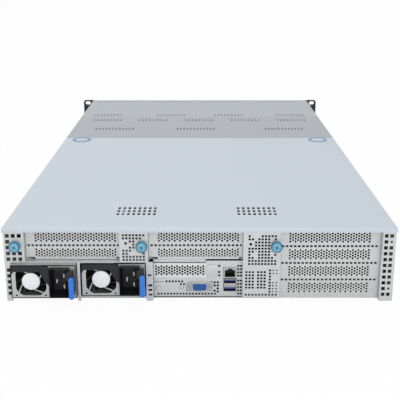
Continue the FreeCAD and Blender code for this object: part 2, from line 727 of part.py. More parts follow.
def make_psu(tag, index, drawn):
    """One supply: a sheet case with its finger guard, the inlet, the squeeze latch and the fan rotor."""
    left = f"(psu_inset + psu_pitch * {index} - {SIDE})"
    right = f"({left} + psu_width)"
    back = f"({REAR} - {drawn})"
    end = f"({back} + psu_length)"
    top = f"({PSU_BASE} + psu_height)"
    fan_x = f"({left} + fan_offset)"
    mid_z = f"({PSU_BASE} + psu_height / 2)"
    inlet_x = f"({left} + inlet_offset)"
    latch_x = f"({left} + latch_offset)"
    inlet_low, inlet_high = f"({mid_z} - inlet_height / 2)", f"({mid_z} + inlet_height / 2)"
    name = f"psu_{tag}"

    through = (f"{back} - 2", f"{back} + 2")
    shell = cut(f"{name}_shell",
                box(f"{name}_outer", (left, right), (back, end), (PSU_BASE, top)),
                box(f"{name}_room", (f"{left} + psu_skin", f"{right} - psu_skin"),
                    (f"{back} + psu_skin", f"{end} - psu_skin"),
                    (f"{PSU_BASE} + psu_skin", f"{top} - psu_skin")))
    mouth = profile(f"{name}_mouth", bevelled(f"{fan_x} - fan_bore", f"{fan_x} + fan_bore",
                                              f"{mid_z} - fan_mouth_height / 2",
                                              f"{mid_z} + fan_mouth_height / 2", "mouth_corner"), "y",
                    *through)
    inlet_hole = box(f"{name}_inlet_hole", (inlet_x, f"{inlet_x} + inlet_width"), through,
                     (inlet_low, inlet_high))
    latch_hole = box(f"{name}_latch_hole",
                     (f"{latch_x} - latch_swing - 2 * slip", f"{latch_x} + latch_sheet + slip"),
                     through, (f"{PSU_BASE} + latch_low - slip", f"{PSU_BASE} + latch_high + slip"))
    arms = doc.addObject("Part::Feature", f"{name}_arms")
    count = int(SIZES["guard_arms"])
    turn = 360.0 / count
    arms.Shape = Part.makeCompound([guard_arm(value("guard_start") + turn * i) for i in range(count)])
    arms.Placement.Base = FreeCAD.Vector(value(fan_x), value(back), value(mid_z))
    on_face = doc.addObject("Part::MultiCommon", f"{name}_guard")
    on_face.Shapes = [arms, box(f"{name}_face", (left, inlet_x), (back, f"{back} + psu_skin"),
                                (PSU_BASE, top))]
    case = fuse(
        f"{name}_body",
        cut(f"{name}_open_case", shell, mouth, inlet_hole, latch_hole),
        on_face,
        bar(f"{name}_hub", "fan_hub", "psu_skin", (fan_x, back, mid_z), "y", 24),
        bar(f"{name}_shaft", "psu_rotor_shaft", "psu_rotor_depth", (fan_x, back, mid_z), "y", 8),
    )
    node(case, f"{name}_case")

    block = profile(f"{name}_block", bevelled(inlet_x, f"{inlet_x} + inlet_width", inlet_low, inlet_high,
                                              "inlet_corner"),
                    "y", f"{back} - inlet_proud", f"{back} + inlet_depth")
    mouth_y = f"({back} - inlet_proud)"
    cavity = box(f"{name}_cavity", (f"{inlet_x} + inlet_rim", f"{inlet_x} + inlet_width - inlet_rim"),
                 (f"{mouth_y} - 1", f"{mouth_y} + inlet_cavity"),
                 (f"{inlet_low} + inlet_rim", f"{inlet_high} - inlet_rim"))
    centre = f"({inlet_x} + inlet_width / 2)"
    pins = []
    for label, pin_x, pin_z in (("earth", f"{centre} - pin_shift", mid_z),
                                ("live", f"{centre} + pin_shift", f"{mid_z} + pin_spread"),
                                ("neutral", f"{centre} + pin_shift", f"{mid_z} - pin_spread")):
        pins.append(box(f"{name}_{label}_pin", (f"{pin_x} - pin_thick / 2", f"{pin_x} + pin_thick / 2"),
                        (f"{mouth_y} + pin_recess", f"{mouth_y} + inlet_cavity + 1"),
                        (f"{pin_z} - pin_width / 2", f"{pin_z} + pin_width / 2")))
    node(fuse(f"{name}_socket", cut(f"{name}_hollow", block, cavity), *pins), f"{name}_inlet")

    leaf_right = f"({latch_x} + latch_sheet)"
    pad_left = f"({latch_x} + (latch_sheet - latch_tab) / 2)"
    pad_right = f"({latch_x} + (latch_sheet + latch_tab) / 2)"
    tip, shoulder = f"({back} - latch_reach)", f"({back} - latch_reach + latch_sheet)"
    outline = [(pad_left, tip), (pad_right, tip), (pad_right, shoulder), (leaf_right, shoulder),
               (leaf_right, f"{back} + latch_inside"), (latch_x, f"{back} + latch_inside"),
               (latch_x, shoulder),
               (pad_left, shoulder)]
    leaf = profile(f"{name}_lever", outline, "z", f"{PSU_BASE} + latch_low", f"{PSU_BASE} + latch_high")
    node(leaf, f"{name}_latch")
    make_rotor(f"{name}_rotor", (fan_x, f"({back} + rotor_setback)", mid_z), "(fan_hub * 0.9)",
               "psu_rotor_tip",
               "psu_rotor_depth", int(SIZES["psu_rotor_blades"]), "psu_rotor_shaft")


def blade_section(x, chord, scale):
    """A cambered blade section in the plane at x, turned to the blade pitch, with thinned edges."""
    pitch = math.radians(value("blade_pitch"))
    thick = value("blade") / 2
    camber = value("blade_camber") * chord
    faces = {1: [], -1: []}
    for share in (-0.5, 0.0, 0.5):
        bow = camber * (1 - 4 * share ** 2) - camber / 2
        half = thick * (1.2 - abs(share) * 1.4)
        for side, face in faces.items():
            along, across = chord * share * scale, (bow + side * half) * scale
            face.append(FreeCAD.Vector(x, along * math.cos(pitch) - across * math.sin(pitch),
                                       along * math.sin(pitch) + across * math.cos(pitch)))
    return faces[1] + faces[-1][::-1]


def make_rotor(label, at, hub, tip, depth, blades, shaft):
    """A fan rotor about an axis along Y: a bored hub, and cambered blades lofted from root to tip."""
    x, y, z = at
    hub_bar = turning(label + "_hub", 16, [(hub, "0"), (hub, f"{depth} - blade"), (f"{hub} - blade", depth)],
                      at)
    bore = bar(label + "_bore", f"({shaft} + shaft_play) * corner_ratio", f"{depth} + 2", (x, f"{y} - 1", z),
               "y", 8)
    deep = value(depth)
    pitch = math.radians(value("blade_pitch"))
    chord = (deep - value("2 * blade")) / (math.cos(pitch) + value("blade_camber") * math.sin(pitch))
    sweep = chord / 2 * math.sin(pitch) + value("blade_camber") * chord / 2 + value("blade")
    end = math.sqrt(value(tip) ** 2 - sweep ** 2)
    vane = flat_loft([blade_section(value(hub) * 0.75, chord, 0.8), blade_section(end, chord, 1.0)])
    ring = []
    for i in range(blades):
        one = vane.copy()
        one.rotate(FreeCAD.Vector(0, 0, 0), FreeCAD.Vector(0, 1, 0), 360.0 / blades * i)
        ring.append(one)
    vanes = doc.addObject("Part::Feature", label + "_blades")
    vanes.Shape = Part.makeCompound(ring)
    vanes.Placement.Base = FreeCAD.Vector(value(x), value(y) + deep / 2, value(z))
    node(cut(label + "_whole", fuse(label + "_body", hub_bar, vanes), bore), label)


# ---------------------------------------------------------------- covers
def spread(count, inset):
    """Centres of groups that stand evenly across the chassis, the outer ones inset from its sides."""
    half = value(f"{SIDE} - {inset}")
    return [half * (2 * i / (count - 1) - 1) for i in range(count)]


def vent_rows(name, centres, columns, y, size, row_count=1):
    """Groups of vents through a cover; size names the width, length and pitch of the vents."""
    width, length, pitch = (value(part) for part in size)
    level = value(f"{LID} + cover_sheet / 2")
    places = [(centre + pitch * (i - (columns - 1) / 2), value(y) + value("vent_row_pitch") * row, level)
              for centre in centres for row in range(row_count) for i in range(columns)]
    return punches(name, places, (width, length, value("4 * cover_sheet")))


def folded_cover(name, y_low, y_high, hem_in):
    """A flat cover with a folded hem down the outside of each chassis wall."""
    hem = f"({SIDE} + {hem_in})"
    foot = "(chassis_height - hem_depth)"
    half = [(COVER_SIDE, "chassis_height"), (COVER_SIDE, foot), (hem, foot), (hem, LID)]
    return profile(name, half + [(f"0 - {x}", z) for x, z in reversed(half)], "y", y_low, y_high)


def make_rear_cover():
    """The sliding cover with its rear lip, and a release button in a raised ring at each front corner."""
    end = f"({REAR} + rear_cover_length)"
    lip_y = f"({REAR} - slip - cover_sheet)"
    parts = [
        folded_cover("rear_cover_sheet", lip_y, end, "slip"),
        box("rear_cover_lip", (f"0 - {COVER_SIDE}", COVER_SIDE), (lip_y, f"{REAR} - slip"),
            ("chassis_height - rear_lip", LID)),
    ]
    ring_y = f"({end} - button_setback)"
    wells = []
    for tag, x in (("left", f"(button_inset - {COVER_SIDE})"), ("right", f"({COVER_SIDE} - button_inset)")):
        parts.append(turning(f"ring_{tag}", 20, [("ring_radius", "0"), ("ring_radius", "cover_sheet"),
                                                 ("ring_radius - ring_height", "cover_sheet + ring_height")],
                             (x, ring_y, LID), "z"))
        wells.append(bar(f"well_{tag}", "button_radius + slip", "4 * cover_sheet", (x, ring_y, f"{LID} - 1"),
                         "z", 20))
        button = turning(f"button_{tag}", 20,
                         [("button_radius", "0"), ("button_radius", "button_skirt + button_travel"),
                                               ("button_radius - ring_height",
                                                "button_skirt + button_travel + ring_height")],
                         (x, ring_y, "chassis_height - button_skirt - button_travel"), "z")
        node(button, f"cover_button_{tag}")
    centres = [value("0 - vent_offset - vent_shift"), value("vent_offset - vent_shift")]
    vents = vent_rows("rear_vents", centres, int(SIZES["vent_columns"]), f"{REAR} + vent_setback",
                      ("vent_width", "vent_length", "vent_pitch"), int(SIZES["vent_rows"]))
    node(cut("rear_cover_whole", fuse("rear_cover_body", *parts), vents, *wells), "rear_cover")


def make_fixed_covers():
    """The middle and front covers, with groups of fine vents."""
    fine = ("fine_vent_width", "fine_vent_length", "fine_vent_pitch")
    mid = folded_cover("mid_cover_sheet", COVER_SPLIT, f"{COVER_SPLIT} + mid_cover_length", "0")
    rear_groups = vent_rows("mid_vents", spread(3, "mid_vent_inset"), 5, f"{COVER_SPLIT} + mid_vent_setback",
                            fine)
    front_groups = vent_rows("fine_vents", spread(5, "fine_vent_inset"), 3,
                             f"{COVER_SPLIT} + fine_vent_setback", fine)
    node(cut("mid_cover_whole", mid, rear_groups, front_groups), "mid_cover")
    front = folded_cover("front_cover_sheet", FRONT_SPLIT, f"{FRONT} - ear_sheet - 1", "0")
    last_groups = vent_rows("front_vents", spread(4, "front_vent_inset"), 4,
                            f"{FRONT_SPLIT} + front_vent_setback", fine)
    node(cut("front_cover_whole", front, last_groups), "front_cover")


# ---------------------------------------------------------------- ports
def d_outline(inset):
    """The D-shaped outline of the display socket, its lower side narrower, drawn in by an inset."""
    half, low_half = f"(vga_width / 2 - {inset})", f"(vga_width / 2 - vga_taper - {inset})"
    low, high = f"(vga_z - vga_height / 2 + {inset})", f"(vga_z + vga_height / 2 - {inset})"
    right = [(f"({low_half} - vga_corner)", low), (low_half, f"{low} + vga_corner"),
             (half, f"{high} - vga_corner"),
             (f"({half} - vga_corner)", high)]
    return right + [(f"0 - {x}", z) for x, z in reversed(right)]


def make_ports():
    """The display socket with its hex nuts, the network socket and the two stacked USB sockets."""
    proud = f"({FACE} - port_proud)"
    shell = cut("vga_shell", profile("vga_block", d_outline("0"), "y", proud, f"{FACE} + port_depth"),
                profile("vga_cavity", d_outline("port_wall"), "y", f"{proud} - 1", f"{FACE} + 1"))
    nuts = [bar(f"vga_nut_{tag}", "nut_width / 2", "port_proud", (x, proud, "vga_z"), "y", 6)
            for tag, x in (("left", "0 - nut_spread"), ("right", "nut_spread"))]
    node(group("vga", shell, *nuts), "vga_port")

    left, right = "(stack_x - port_width / 2)", "(stack_x + port_width / 2)"
    rear, end = f"({FACE} - 1)", f"({FACE} + port_depth)"
    lan_wall = "2 * port_wall"
    lan_room = box("lan_room", (f"{left} + {lan_wall}", f"{right} - {lan_wall}"),
                   (f"{rear} - 1", f"{end} - 3"),
                   (f"lan_low + {lan_wall}", f"lan_high - {lan_wall}"))
    node(cut("lan", box("lan_block", (left, right), (rear, end), ("lan_low", "lan_high")), lan_room),
         "lan_port")
    usbs = []
    for i in range(2):
        low = f"(usb_low + usb_pitch * {i})"
        high = f"({low} + usb_height)"
        shell = cut(f"usb_shell_{i}", box(f"usb_block_{i}", (left, right), (rear, end), (low, high)),
                    box(f"usb_room_{i}", (f"{left} + port_wall", f"{right} - port_wall"),
                        (f"{rear} - 1", f"{end} - 3"),
                        (f"{low} + port_wall", f"{high} - port_wall")))
        tongue = box(f"usb_tongue_{i}", ("stack_x - tongue_width / 2", "stack_x + tongue_width / 2"),
                     (f"{FACE} + 1", f"{end} - 2"),
                     (f"{low} + usb_height / 2", f"{low} + usb_height / 2 + tongue_thick"))
        usbs.append(fuse(f"usb_{i}", shell, tongue))
    node(group("usbs", *usbs), "usb_ports")
    button = turning("id_knob", 20, [("id_radius - 0.6", "0"), ("id_radius", "0.6"),
                                     ("id_radius", "sheet + id_travel + 3")],
                     ("id_x", f"{FACE} - id_travel - 0.5", "id_z"))
    node(button, "id_button")


# ---------------------------------------------------------------- boards, coolers and memory
def make_boards():
    """The mainboard on its posts, two finned coolers and four banks of memory in their sockets."""
    board_low = "(sheet + standoff)"
    bay = f"({BAY_RIGHT} + sheet + 1)"
    near, neck, end = f"({REAR} + board_setback)", f"({REAR} + board_neck)", f"({REAR} + board_end)"
    edge = f"({INSIDE} - 2)"
    outline = [(bay, near), (edge, near), (edge, end), (f"0 - {edge}", end), (f"0 - {edge}", neck),
               (bay, neck)]
    posts = [bar(f"board_post_{i}_{j}", "post_radius", "standoff", (x, y, "sheet"), "z", 6)
             for i, x in enumerate((f"post_inset - {INSIDE}", "0", f"{INSIDE} - post_inset"))
             for j, y in enumerate((f"{neck} + post_inset", f"{end} - post_inset"))]
    node(fuse("board_plate", profile("board_sheet", outline, "z", board_low, BOARD_TOP), *posts), "mainboard")

    fins = int(SIZES["cooler_fins"])
    pitch = f"((cooler_width - fin_thick) / {fins - 1})"
    cooler_end = f"({REAR} + fan_setback - cooler_gap)"
    cooler_y = (f"({cooler_end} - cooler_length)", cooler_end)
    coolers = []
    for tag, centre in (("left", "(0 - cooler_offset)"), ("right", "cooler_offset")):
        left = f"({centre} - cooler_width / 2)"
        block = box(f"cooler_{tag}_block", (left, f"{left} + cooler_width"), cooler_y,
                    (BOARD_TOP, f"{BOARD_TOP} + cooler_height"))
        gaps = [box(f"cooler_{tag}_gap_{k}",
                    (f"{left} + {pitch} * {k} + fin_thick", f"{left} + {pitch} * {k + 1}"),
                    (f"{cooler_y[0]} - 1", f"{cooler_y[1]} + 1"),
                    (f"{BOARD_TOP} + cooler_base", f"{BOARD_TOP} + cooler_height + 1"))
                for k in range(fins - 1)]
        coolers.append(cut(f"cooler_{tag}", block, *gaps))
    node(group("coolers", *coolers), "processor_coolers")

    middle = f"({cooler_end} - cooler_length / 2)"
    memory_y = (f"{middle} - memory_length / 2", f"{middle} + memory_length / 2")
    sticks = []
    for side in ("0 - 1", "1"):
        for bank, start in (("inner", "memory_inner"),
                            ("outer", "cooler_offset + cooler_width / 2 + memory_gap")):
            for k in range(int(SIZES["memory_count"])):
                x = f"(({side}) * ({start} + memory_pitch * {k}))"
                sticks.append(box(f"stick_{bank}_{len(sticks)}",
                                  (f"{x} - memory_thick / 2", f"{x} + memory_thick / 2"),
                                  memory_y, (BOARD_TOP, f"{BOARD_TOP} + memory_height")))
    node(group("sticks", *sticks), "memory_modules")


# ---------------------------------------------------------------- fan wall
def make_fans():
    """Four fans that drop in behind a folded wall: housings with struts and a shaft, and their rotors."""
    back = f"({REAR} + fan_setback)"
    face = f"({back} + fan_depth)"
    base = "(2 * sheet)"
    mid_z = f"({base} + fan_size / 2)"
    centres = [f"(fan_pitch * {i - 1.5})" for i in range(4)]
    fold = [(back, "sheet"), (f"{face} + sheet", "sheet"), (f"{face} + sheet", f"{WALL_TOP} - 2 * sheet"),
            (face, f"{WALL_TOP} - 2 * sheet"), (face, base), (back, base)]
    windows = [profile(f"wall_window_{i}",
                       bevelled(f"{x} - fan_mouth", f"{x} + fan_mouth", f"{mid_z} - fan_mouth",
                                f"{mid_z} + fan_mouth", "2 * fan_corner"),
                       "y", f"{face} - 1", f"{face} + 2 * sheet")
               for i, x in enumerate(centres)]
    node(cut("wall", profile("wall_fold", fold, "x", f"0 - {INSIDE}", INSIDE), *windows), "fan_wall")
    housings = []
    for i, x in enumerate(centres):
        low_x, high_x = f"({x} - fan_size / 2)", f"({x} + fan_size / 2)"
        block = profile(f"housing_block_{i}",
                        bevelled(low_x, high_x, base, f"({base} + fan_size)", "fan_corner"),
                        "y", back, face)
        mouth = bar(f"housing_mouth_{i}", "fan_mouth", "fan_depth + 2", (x, f"{back} - 1", mid_z), "y", 20)
        parts = [
            cut(f"housing_ring_{i}", block, mouth),
            box(f"housing_upright_{i}", (f"{x} - fan_strut / 2", f"{x} + fan_strut / 2"),
                (back, f"{back} + 2"),
                (f"{base} + 1", f"{base} + fan_size - 1")),
            bar(f"housing_cup_{i}", "rotor_hub", "2", (x, back, mid_z), "y", 16),
            bar(f"housing_shaft_{i}", "rotor_shaft", "fan_depth - 8", (x, f"{back} + 1", mid_z), "y", 8),
        ]
        housings.append(fuse(f"housing_{i}", *parts))
        make_rotor(f"fan_rotor_{i + 1}", (x, f"({back} + rotor_setback)", mid_z), "rotor_hub", "rotor_tip",
                   "(fan_depth - 2 * rotor_setback)", int(SIZES["rotor_blades"]), "rotor_shaft")
    node(group("housings", *housings), "fan_housings")


# ---------------------------------------------------------------- drive bays
BAY_WIDTH = f"(({INSIDE} * 2 - 3 * sheet) / 4)"


def bay_left(column):
    return f"(({BAY_WIDTH} + sheet) * {column} - {INSIDE})"


def bay_low(row):
    return f"(sheet + bay_floor + (bay_height + bay_shelf) * {row})"


def make_drive_cage():
    """A cage of eight bays under a perforated panel, with the backplane behind it."""
    span = (CAGE_BACK, FRONT)
    roof = bay_low(2)
    panel_top = f"({WALL_TOP} - 2 * sheet)"
    outline = [(CAGE_BACK, "sheet"), (FRONT, "sheet"), (FRONT, panel_top), (f"{FRONT} - sheet", panel_top),
               (f"{FRONT} - sheet", roof), (CAGE_BACK, roof)]
    block = profile("cage_block", outline, "x", f"0 - {INSIDE}", INSIDE)
    bays = [(column, row) for row in range(2) for column in range(4)]
    rooms = [box(f"bay_room_{c}_{r}", (bay_left(c), f"{bay_left(c)} + {BAY_WIDTH}"),
                 (f"{CAGE_BACK} - 1", f"{FRONT} + 1"),
                 (bay_low(r), f"{bay_low(r)} + bay_height")) for c, r in bays]
    level = value(f"({roof} + {panel_top}) / 2")
    half = value(f"{INSIDE} - cage_vent / 2 - sheet")
    places = [(x, value(f"{FRONT} - sheet / 2"), level) for x in fill(-half, half, value("cage_vent_pitch"))]
    vents = punches("front_panel_vents", places,
                    (value("cage_vent"), value("punch_reach"), value("cage_vent_height")))
    node(cut("drive_cage_whole", block, *rooms, vents), "drive_cage")
    plate = box("backplane_plate", (f"0 - {INSIDE}", INSIDE), (f"{CAGE_BACK} - backplane", CAGE_BACK),
                ("sheet", roof))
    slots = [box(f"backplane_slot_{c}_{r}",
                 (f"{bay_left(c)} + plug_inset", f"{bay_left(c)} + {BAY_WIDTH} - plug_inset"),
                 (f"{CAGE_BACK} - backplane - 1", f"{CAGE_BACK} + 1"),
                 (f"{bay_low(r)} + plug_low", f"{bay_low(r)} + plug_low + plug_height"))
             for c, r in bays]
    node(cut("backplane_whole", plate, *slots), "drive_backplane")


def make_carrier(index, column, row):
    """A folded drive tray behind a bezel with a swinging lever; the drive is a solid of its own."""
    name = f"carrier_{index}"
    left = f"({bay_left(column)} + carrier_slip)"
    right = f"({bay_left(column)} + {BAY_WIDTH} - carrier_slip)"
    low = f"({bay_low(row)} + carrier_slip)"
    high = f"({bay_low(row)} + bay_height - carrier_slip)"
    bezel_back = f"({BEZEL_FRONT} - bezel_depth)"
    back = f"({bezel_back} - drive_length - drive_gap - tray_end)"
    mid_z = f"(({low} + {high}) / 2)"
    lever_left, lever_right = f"({left} + lever_inset)", f"({left} + lever_inset + lever_width)"
    lever_low, lever_high = f"({mid_z} - lever_height / 2)", f"({mid_z} + lever_height / 2)"
    lever_back = f"({BEZEL_FRONT} - lever_thick)"
    pin_x, pin_y = f"({lever_left} + lever_thick / 2)", f"({BEZEL_FRONT} - lever_thick / 2)"
    pocket = box(f"{name}_pocket", (f"{lever_left} - lever_slip", f"{lever_right} + lever_slip"),
                 (f"{lever_back} - lever_slip", f"{BEZEL_FRONT} + 1"),
                 (f"{lever_low} - lever_slip", f"{lever_high} + lever_slip"))
    tray = fuse(
        f"{name}_tray",
        cut(f"{name}_bezel", box(f"{name}_block", (left, right), (bezel_back, BEZEL_FRONT), (low, high)),
            pocket),
        profile(f"{name}_rails", channel(left, right, low, f"({low} + rail_height)", "tray_sheet"),
                "y", back, bezel_back),
        bar(f"{name}_pin", "lever_pin", "lever_height + 2 * lever_slip + 1",
            (pin_x, pin_y, f"{lever_low} - lever_slip - 0.5"), "z", 8),
    )
    drive_left = f"(({left} + {right} - drive_width) / 2)"
    drive = box(f"{name}_drive", (drive_left, f"{drive_left} + drive_width"),
                (f"{back} + tray_end", f"{bezel_back} - drive_gap"),
                (f"{low} + tray_sheet", f"{high} - slip"))
    node(group(f"{name}_whole", tray, drive), f"drive_carrier_{index}")

    plate = [(lever_left, lever_low), (f"{lever_right} - lever_corner", lever_low),
             (lever_right, f"{lever_low} + lever_corner"),
             (lever_right, f"{lever_high} - lever_corner"), (f"{lever_right} - lever_corner", lever_high),
             (lever_left, lever_high)]
    lever = cut(
        f"{name}_lever_body",
        profile(f"{name}_lever_plate", plate, "y", lever_back, BEZEL_FRONT),
        box(f"{name}_lever_slots",
            (f"{lever_left} + lever_slot_start", f"{lever_right} - lever_slot_end"),
            (f"{lever_back} - 1", f"{BEZEL_FRONT} + 1"),
            (f"{mid_z} - lever_slot / 2", f"{mid_z} + lever_slot / 2")),
        bar(f"{name}_lever_bore", "(lever_pin + shaft_play) * corner_ratio", "lever_height + 2",
            (pin_x, pin_y, f"{lever_low} - 1"), "z", 8),
    )
    node(lever, f"carrier_lever_{index}")


# ---------------------------------------------------------------- rack ears
def round_slot(x, y, z):
    """A punch for a slot with round ends that lies along X and goes through along Y."""
    radius, shift = value("ear_slot / 2"), value("ear_slot_play / 2")
    reach = value("punch_reach")
    start = y - reach / 2
    middle = Part.makeBox(2 * shift, reach, 2 * radius, FreeCAD.Vector(x - shift, start, z - radius))
    ends = [Part.makeCylinder(radius, reach, FreeCAD.Vector(x + side * shift, start, z),
                              FreeCAD.Vector(0, 1, 0))
            for side in (-1, 1)]
    return middle.multiFuse(ends).removeSplitter()


def make_ear(tag, sign):
    """A mounting ear: the slotted plate, an arm along the chassis wall and a looped grip."""
    outer = f"({SIDE} + ear_width)"
    grip_out = f"({outer} - grip_edge)"
    tip, loop = f"({FRONT} + grip_depth)", f"({FRONT} + grip_depth - grip_bar)"

    def across(near, far):
        return (near, far) if sign > 0 else (f"0 - {far}", f"0 - {near}")

    shoulder = f"({outer} - ear_corner)"
    plate = [(SIDE, "0"), (shoulder, "0"), (outer, "ear_corner"), (outer, "chassis_height - ear_corner"),
             (shoulder, "chassis_height"), (SIDE, "chassis_height")]
    grip = [(FRONT, "grip_low"), (f"{tip} - grip_corner", "grip_low"), (tip, "grip_low + grip_corner"),
            (tip, "grip_high - grip_corner"), (f"{tip} - grip_corner", "grip_high"), (FRONT, "grip_high"),
            (FRONT, "grip_high - grip_bar"), (loop, "grip_high - grip_bar"), (loop, "grip_low + grip_bar"),
            (FRONT, "grip_low + grip_bar")]
    body = fuse(
        f"ear_{tag}_body",
        profile(f"ear_{tag}_plate", plate if sign > 0 else [(f"0 - {x}", z) for x, z in plate], "y",
                f"{FRONT} - ear_sheet", FRONT),
        box(f"ear_{tag}_arm", across(SIDE, f"({SIDE} + ear_arm)"),
            (f"{FRONT} - ear_arm_length", f"{FRONT} - ear_sheet"),
            ("4", "chassis_height - hem_depth - 1")),
        profile(f"ear_{tag}_grip", grip, "x", *across(f"({grip_out} - grip_width)", grip_out)),
    )
    x = sign * value(f"{SIDE} + ear_slot_inset")
    y = value(f"{FRONT} - ear_sheet / 2")
    middle, spread_z = value("chassis_height / 2"), value("ear_slot_spread / 2")
    slots = doc.addObject("Part::Feature", f"ear_{tag}_slots")
    slots.Shape = Part.makeCompound([round_slot(x, y, middle - spread_z),
                                     round_slot(x, y, middle + spread_z)])
    tools = [slots]
    if sign > 0:
        tools.append(square_punches("power_hole", [(value(f"{SIDE} + power_inset"), y, value("power_z"))],
                                    value("2 * power_radius + 4 * slip")))
    node(cut(f"ear_{tag}_whole", body, *tools), f"rack_ear_{tag}")


def make_power_button():
    rim = "ear_sheet + power_travel + 0.4"
    knob = turning("power_knob", 20, [("power_radius", "0"), ("power_radius", rim),
                                      ("power_radius - 0.6", "ear_sheet + power_travel + 1")],
                   (f"{SIDE} + power_inset", f"{FRONT} - ear_sheet", "power_z"))
    node(knob, "power_button")


make_chassis_pan()
make_psu_bay()
make_rear_panel()
for cage in CAGES:
    make_riser_cage(*cage)
make_slot_covers()
make_riser_cards()
for screw_tag in SCREWS:
    make_thumbscrew(screw_tag)
make_psu("left", 0, "psu_drawn")
make_psu("right", 1, "0")
make_rear_cover()
make_fixed_covers()
make_ports()
make_boards()
make_fans()
make_drive_cage()
for bay in range(8):
    make_carrier(bay + 1, bay % 4, bay // 4)
make_ear("left", -1)
make_ear("right", 1)
make_power_button()
doc.recompute()

broken = [thing.Name for thing in doc.Objects if "Invalid" in thing.State or "Error" in thing.State]
if broken:
    raise RuntimeError(f"objects failed: {broken}")
os.makedirs("parts", exist_ok=True)
for thing in NODES:
    if thing.Shape.isNull() or not thing.Shape.isValid():
        raise RuntimeError(f"{thing.Label} has no valid shape")
    thing.Shape.exportStep(f"parts/{thing.Label}.step")
print(len(NODES), "sub-parts written")
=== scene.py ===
# %% [markdown]
# A rack server two units high, dressed over its construction model.
#
# The construction model gives every piece its real size and place.  This notebook adds what the eye expects:
# coated covers, zinc-plated sheet with hundreds of small punched holes, moulded plastic and a soft studio.
# Everything is in metres, with +X right when the rear panel is looked at, +Y towards the drives and +Z up.

# %% Load the construction model
import json
import math
import bmesh
import bpy
from mathutils import Matrix, Vector


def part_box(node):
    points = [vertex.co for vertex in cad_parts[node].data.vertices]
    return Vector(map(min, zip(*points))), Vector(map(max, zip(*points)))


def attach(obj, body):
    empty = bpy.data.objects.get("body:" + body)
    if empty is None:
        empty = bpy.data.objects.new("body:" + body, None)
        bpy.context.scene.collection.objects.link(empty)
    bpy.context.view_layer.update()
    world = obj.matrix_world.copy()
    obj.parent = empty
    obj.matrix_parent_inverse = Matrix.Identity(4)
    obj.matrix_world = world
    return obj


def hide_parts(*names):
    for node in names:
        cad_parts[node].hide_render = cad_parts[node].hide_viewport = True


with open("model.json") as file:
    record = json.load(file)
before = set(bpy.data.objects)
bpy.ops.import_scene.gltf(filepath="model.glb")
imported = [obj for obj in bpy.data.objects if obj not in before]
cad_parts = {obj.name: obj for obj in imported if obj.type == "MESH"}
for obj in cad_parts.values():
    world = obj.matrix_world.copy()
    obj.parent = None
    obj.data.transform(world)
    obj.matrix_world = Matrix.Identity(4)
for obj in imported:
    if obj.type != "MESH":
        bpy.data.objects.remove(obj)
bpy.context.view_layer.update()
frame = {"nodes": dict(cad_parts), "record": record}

mm = 0.001
behaviour = frame["record"]["behaviour"]
nodes = {name: bpy.data.objects[name] for name in frame["nodes"]}
body_of_node = {node: body for body, members in behaviour["bodies"].items() for node in members}
slot_of_node = {row["node"]: row["material_slot"] for row in frame["record"]["subparts"]}
rear_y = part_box("chassis_pan")[0][1]
front_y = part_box("chassis_pan")[1][1]
print("construction nodes:", len(nodes), "rear plane at", round(rear_y, 4))

# %% [markdown]
# ## Shared finishes
#
# Real finishes are never one flat colour.  Two small node groups carry the effects that all the materials
# share: a drifting tint and a brushed grain.  Each group gives back only a colour, a roughness or a height,
# and the shader itself stays in the material, where its own values can be read.

# %% A node group with named sockets
def new_group(title, inputs, outputs):
    group = bpy.data.node_groups.new(title, "ShaderNodeTree")
    for name, kind, value in inputs:
        socket = group.interface.new_socket(name, in_out="INPUT", socket_type=kind)
        if value is not None:
            socket.default_value = value
    for name, kind in outputs:
        group.interface.new_socket(name, in_out="OUTPUT", socket_type=kind)
    return group, group.nodes.new("NodeGroupInput"), group.nodes.new("NodeGroupOutput")


def set_inputs(node, **values):
    """Give sockets their values by name, with an underscore for each space."""
    for name, value in values.items():
        node.inputs[name.replace("_", " ")].default_value = value


def wire(tree, *pairs):
    """Lead each output to its input."""
    for source, target in pairs:
        tree.links.new(source, target)


def math_node(tree, operation, first, second):
    node = tree.nodes.new("ShaderNodeMath")
    node.operation = operation
    for socket, value in zip(node.inputs, (first, second)):
        if isinstance(value, (int, float)):
            socket.default_value = value
        else:
            tree.links.new(value, socket)
    return node.outputs[0]


# %% Drifting tint: a colour that wanders slightly lighter and darker
def make_tint_group():
    group, enter, leave = new_group(
        "drifting tint",
        [("Vector", "NodeSocketVector", None), ("Colour", "NodeSocketColor", (0.5, 0.5, 0.5, 1)),
         ("Size", "NodeSocketFloat", 20.0), ("Amount", "NodeSocketFloat", 0.05)],
        [("Colour", "NodeSocketColor")])
    noise = group.nodes.new("ShaderNodeTexNoise")
    set_inputs(noise, Detail=5)
    centred = math_node(group, "SUBTRACT", noise.outputs["Fac"], 0.5)
    swing = math_node(group, "MULTIPLY", centred, enter.outputs["Amount"])
    scale = group.nodes.new("ShaderNodeVectorMath")
    scale.operation = "SCALE"
    gain = math_node(group, "ADD", swing, 1.0)
    wire(group, (enter.outputs["Vector"], noise.inputs["Vector"]),
         (enter.outputs["Size"], noise.inputs["Scale"]), (enter.outputs["Colour"], scale.inputs[0]),
         (gain, scale.inputs["Scale"]), (scale.outputs[0], leave.inputs["Colour"]))
    return group


